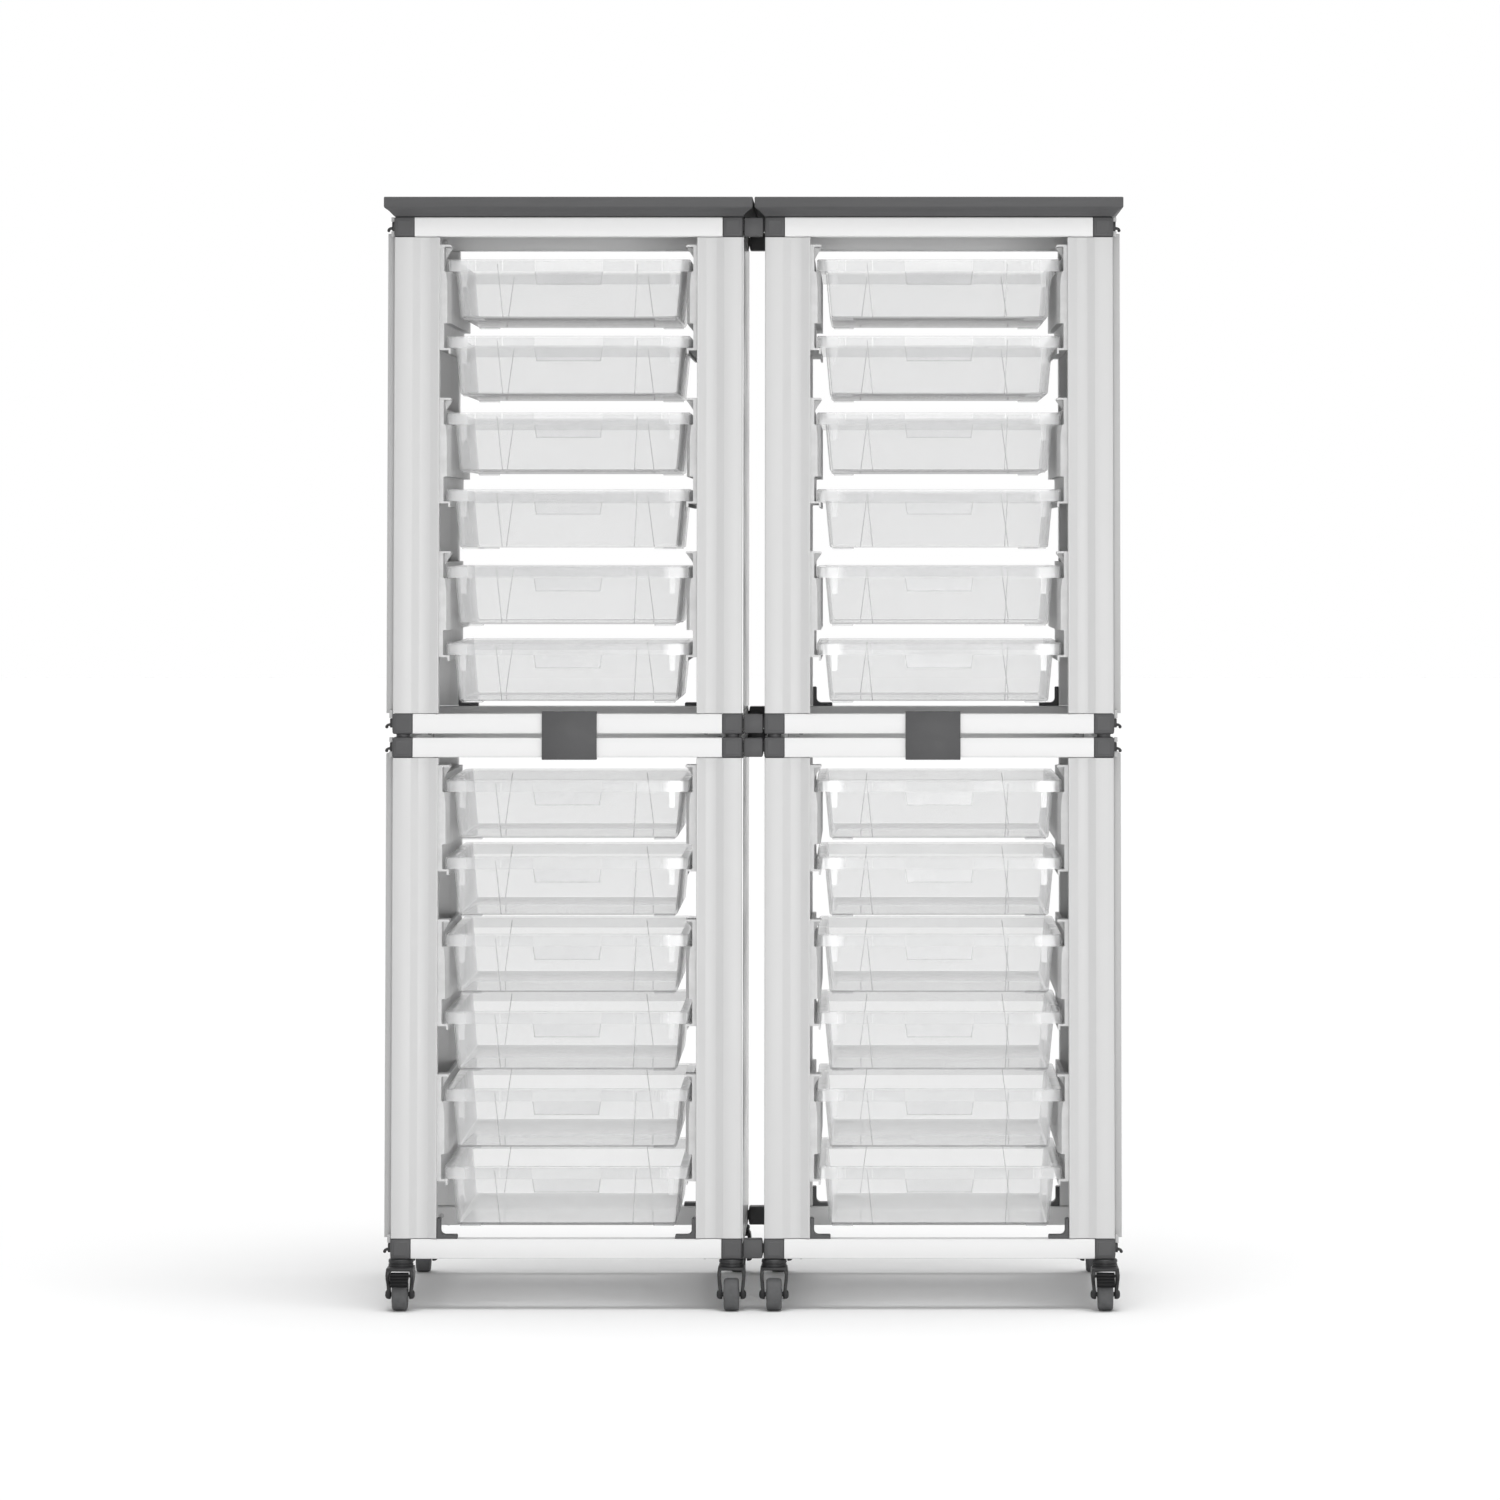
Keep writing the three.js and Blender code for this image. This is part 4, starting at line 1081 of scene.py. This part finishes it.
def fork_forms(braked):
    """Bowed fork with its crown, drum, axle and ball caps, about the kingpin."""
    brow = 30.0 if braked else 19.5
    # Height, inner and outer face, front and back of a cheek
    sections = [
        (54.0, 11.5, 16.6, -brow + 2.0, 14.0),
        (50.0, 12.6, 17.5, -brow + 0.3, 13.6),
        (45.5, 13.5, 17.9, -brow, 11.5),
        (40.5, 13.4, 17.7, -brow + 0.8, 6.0),
        (34.0, 12.8, 17.1, -22.6, 0.0),
        (27.0, 12.1, 16.4, -22.6, -6.5),
        (20.5, 11.6, 15.8, -22.2, -9.8),
        (16.5, 11.5, 15.5, -20.6, -11.4),
        (14.6, 11.5, 15.3, -18.0, -14.0),
    ]
    made = []
    for side in ENDS:
        loops = []
        for z, x0, x1, y0, y1 in sections:
            loops.append([(side * x0, y0, z), (side * x1, y0, z), (side * x1, y1, z), (side * x0, y1, z)])
        made.append(rounded(loft(loops), 1.0, 2, 40.0))
    made.append(rounded(box((-17.2, -brow + 0.6, 50.2), (17.2, 14.6, 54.4)), 1.6, 2))
    drum = [(0, 53), (15.5, 53), (15.9, 54.6), (15.9, 57.6), (14.9, 58.0), (14.9, 58.8)]
    drum += [(15.9, 59.2), (15.9, 62.4), (14.8, 63.7), (0, 63.7)]
    made.append(turned(drum, 28))
    axle = [(0, -15.0), (3.0, -15.0), (3.0, 15.0), (0, 15.0)]
    made.append(moved(turned(axle, 16, "X"), 0, -TRAIL, AXLE_Z))
    ball = [(0, 11.6), (4.6, 11.6), (5.7, 12.6), (6.0, 14.4)]
    ball += [(5.7, 16.2), (4.6, 17.8), (2.6, 18.7), (0, 18.9)]
    points, faces = turned(ball, 18, "X")
    for side in ENDS:
        made.append(([(side * p[0], p[1] - TRAIL, p[2] + AXLE_Z) for p in points], faces))
    if braked:
        pin = [(0, -15.5), (2.0, -15.5), (2.0, 15.5), (0, 15.5)]
        made.append(moved(turned(pin, 14, "X"), 0, *PEDAL_PIN))
    return made


def wheel_form():
    """Wheel with a rounded tread, a dished web and a hub, turned about its axle."""
    half = [(3.35, 10.2), (6.2, 10.2), (6.8, 9.6), (7.2, 8.4), (14.8, 8.2), (15.6, 8.7), (16.4, 9.4)]
    half += [(17.8, 9.6), (19.2, 9.0), (20.1, 7.6), (20.45, 5.6), (20.5, 2.8)]
    profile = [(r, -h) for r, h in half] + [(r, h) for r, h in reversed(half)]
    return turned(profile + profile[:1], 40, "X")


def pedal_forms():
    """Brake pedal about its pin: an eye, a curved plate and raised bars."""
    eye, plate = 4.4, 3.0
    made = [turned([(2.4, -11.3), (eye, -11.3), (eye, 11.3), (2.4, 11.3), (2.4, -11.3)], 20, "X")]
    section = [(1.0, eye - plate + 0.4), (-18.6, eye - plate), (-19.0, eye - 0.4)]
    section += [(-18.0, eye + 0.2), (-4, eye), (0, eye - 0.05)]
    made.append(rounded(prism(section, -11.5, 11.5, "X"), 0.5, 2))
    count = sizes().pedal_ribs
    for i in range(count):
        y = -3.4 - i * 13.8 / max(1, count - 1)
        made.append(rounded(box((-11.5, y - 0.85, eye - 0.5), (11.5, y + 0.85, eye + 1.0)), 0.4, 2))
    drop = Matrix.Rotation(math.radians(50), 3, "X")
    return [([tuple(drop @ Vector(p)) for p in points], faces) for points, faces in made]


def caster_places():
    """Name, kingpin x and y, turned round or not, braked or not."""
    xs = {name: x for name, level, _, x, _ in modules() if level == "lower"}
    for column, sign in COLUMNS.items():
        for position, side in (("outer", sign), ("inner", -sign)):
            for end, back in (("front", False), ("back", True)):
                x = xs[f"lower_{column}"] + side * BLOCK_AT
                y = BLOCK_AT if back else -BLOCK_AT
                yield f"{column}_{position}_{end}", x, y, back, position == "outer" and not back


def caster_piece(node, shapes, material, slot):
    """A piece of a caster, on its own body."""
    show(f"caster_{node}", plain_mesh(node, gathered(shapes)), material, node, slot, node)


class TRAYUNIT_OT_casters(Operator):
    """Swivel casters with forks, wheels and brake pedals"""

    bl_idname = "tray_unit.casters"
    bl_label = "Casters"

    def execute(self, context):
        for name, x, y, back, braked in caster_places():
            shapes = [moved(shape, x, y, 0, turn=back) for shape in fork_forms(braked)]
            caster_piece(f"fork_{name}", shapes, "caster", "caster_plastic")
            shapes = [moved(wheel_form(), x, y + (TRAIL if back else -TRAIL), AXLE_Z)]
            caster_piece(f"wheel_{name}", shapes, "wheel", "wheel_rubber")
            if braked:
                ahead, height = PEDAL_PIN
                shapes = [moved(shape, x, y + ahead, height) for shape in pedal_forms()]
                caster_piece("brake_pedal_" + name.split("_")[0], shapes, "pedal", "pedal_plastic")
        return {"FINISHED"}


# Stage

AMBIENT = 0.43  # the world's light on surfaces; the camera and reflections see 1


class TRAYUNIT_OT_stage(Operator):
    """Pale floor, soft studio light and the camera"""

    bl_idname = "tray_unit.stage"
    bl_label = "Stage, lights and camera"

    def execute(self, context):
        self.floor()
        self.lights()
        self.camera(context.scene)
        self.world(context.scene)
        context.scene.view_settings.view_transform = "Standard"
        context.scene.cycles.transparent_max_bounces = 64
        context.scene.cycles.diffuse_bounces = 8
        return {"FINISHED"}

    def floor(self):
        mesh = bpy.data.meshes.new("floor")
        reach = 40.0
        corners = [(-reach, -reach, 0), (reach, -reach, 0), (reach, reach, 0), (-reach, reach, 0)]
        mesh.from_pydata(corners, [], [(0, 1, 2, 3)])
        mesh.materials.append(floor_paint((0.94, 0.94, 0.94)))
        floor = in_scene("floor", mesh)

    def lights(self):
        """A broad lamp from above, one that grazes the grooves, and a low soft box."""
        for name, strength, spread_angle, towards in (
            ("key", 1.98, 40, (0.05, -0.1, 0.99)),
            ("side", 0.5, 30, (0.86, -0.5, 0.1)),
        ):
            light = bpy.data.lights.new(name, "SUN")
            light.energy = strength
            light.angle = math.radians(spread_angle)
            self.lamp(light, (0, 0, 0), Vector(towards))
        light = bpy.data.lights.new("soft_box", "AREA")
        light.shape = "RECTANGLE"
        light.size, light.size_y = 2.4, 0.8
        light.energy = 160.0
        place = Vector((0.6, -8.0, 0.45))
        self.lamp(light, place, place - Vector((0, 0, 0.7))).visible_camera = False

    def lamp(self, light, place, towards):
        lamp = in_scene(light.name, light)
        lamp.location = place
        lamp.rotation_euler = towards.to_track_quat("Z", "Y").to_euler()
        return lamp

    def camera(self, scene):
        data = bpy.data.cameras.new("view")
        data.sensor_width = 36.0
        data.lens = 159.68
        data.shift_x = -0.0776
        data.shift_y = -0.39594
        data.clip_end = 200.0
        camera = in_scene("view", data)
        camera.location = (0.14416, -8.72945, 0.969)
        camera.rotation_euler = (math.radians(93.343), 0, 0)
        scene.camera = camera

    def world(self, scene):
        world = bpy.data.worlds.new("studio")
        world.use_nodes = True
        scene.world = world
        tree = world.node_tree
        ground = next(n for n in tree.nodes if n.type == "BACKGROUND")
        seen = new_node(tree, "ShaderNodeLightPath").outputs
        direct = combined(tree, "MAXIMUM", seen["Is Camera Ray"], seen["Is Glossy Ray"])
        direct = combined(tree, "MAXIMUM", direct, seen["Is Transmission Ray"])
        strength = ranged(tree, direct, 0.0, 1.0, AMBIENT, 1.0)
        feed(tree, ground, {"Color": (1, 1, 1, 1), "Strength": strength})


class TRAYUNIT_PT_panel(Panel):
    """Sizes, colours and steps of the tray unit"""

    bl_label = "Tray unit"
    bl_idname = "TRAYUNIT_PT_panel"
    bl_space_type = "VIEW_3D"
    bl_region_type = "UI"
    bl_category = "Tray unit"

    def draw(self, context):
        layout = self.layout
        for group in (context.scene.tray_unit_sizes, context.scene.tray_unit_colours):
            for name in group.__annotations__:
                layout.prop(group, name)
        for operator in OPERATORS:
            layout.operator(operator.bl_idname)


OPERATORS = (
    TRAYUNIT_OT_boards,
    TRAYUNIT_OT_rings,
    TRAYUNIT_OT_sides,
    TRAYUNIT_OT_fittings,
    TRAYUNIT_OT_trays,
    TRAYUNIT_OT_casters,
    TRAYUNIT_OT_stage,
)
CLASSES = (TrayUnitSizes, TrayUnitColours, *OPERATORS, TRAYUNIT_PT_panel)


def register():
    for cls in CLASSES:
        bpy.utils.register_class(cls)
    bpy.types.Scene.tray_unit_sizes = PointerProperty(type=TrayUnitSizes)
    bpy.types.Scene.tray_unit_colours = PointerProperty(type=TrayUnitColours)


def unregister():
    del bpy.types.Scene.tray_unit_colours
    del bpy.types.Scene.tray_unit_sizes
    for cls in reversed(CLASSES):
        bpy.utils.unregister_class(cls)


def main():
    register()
    bpy.ops.tray_unit.boards()
    bpy.ops.tray_unit.rings()
    bpy.ops.tray_unit.sides()
    bpy.ops.tray_unit.fittings()
    bpy.ops.tray_unit.trays()
    bpy.ops.tray_unit.casters()
    bpy.ops.tray_unit.stage()


if __name__ == "__main__":
    main()
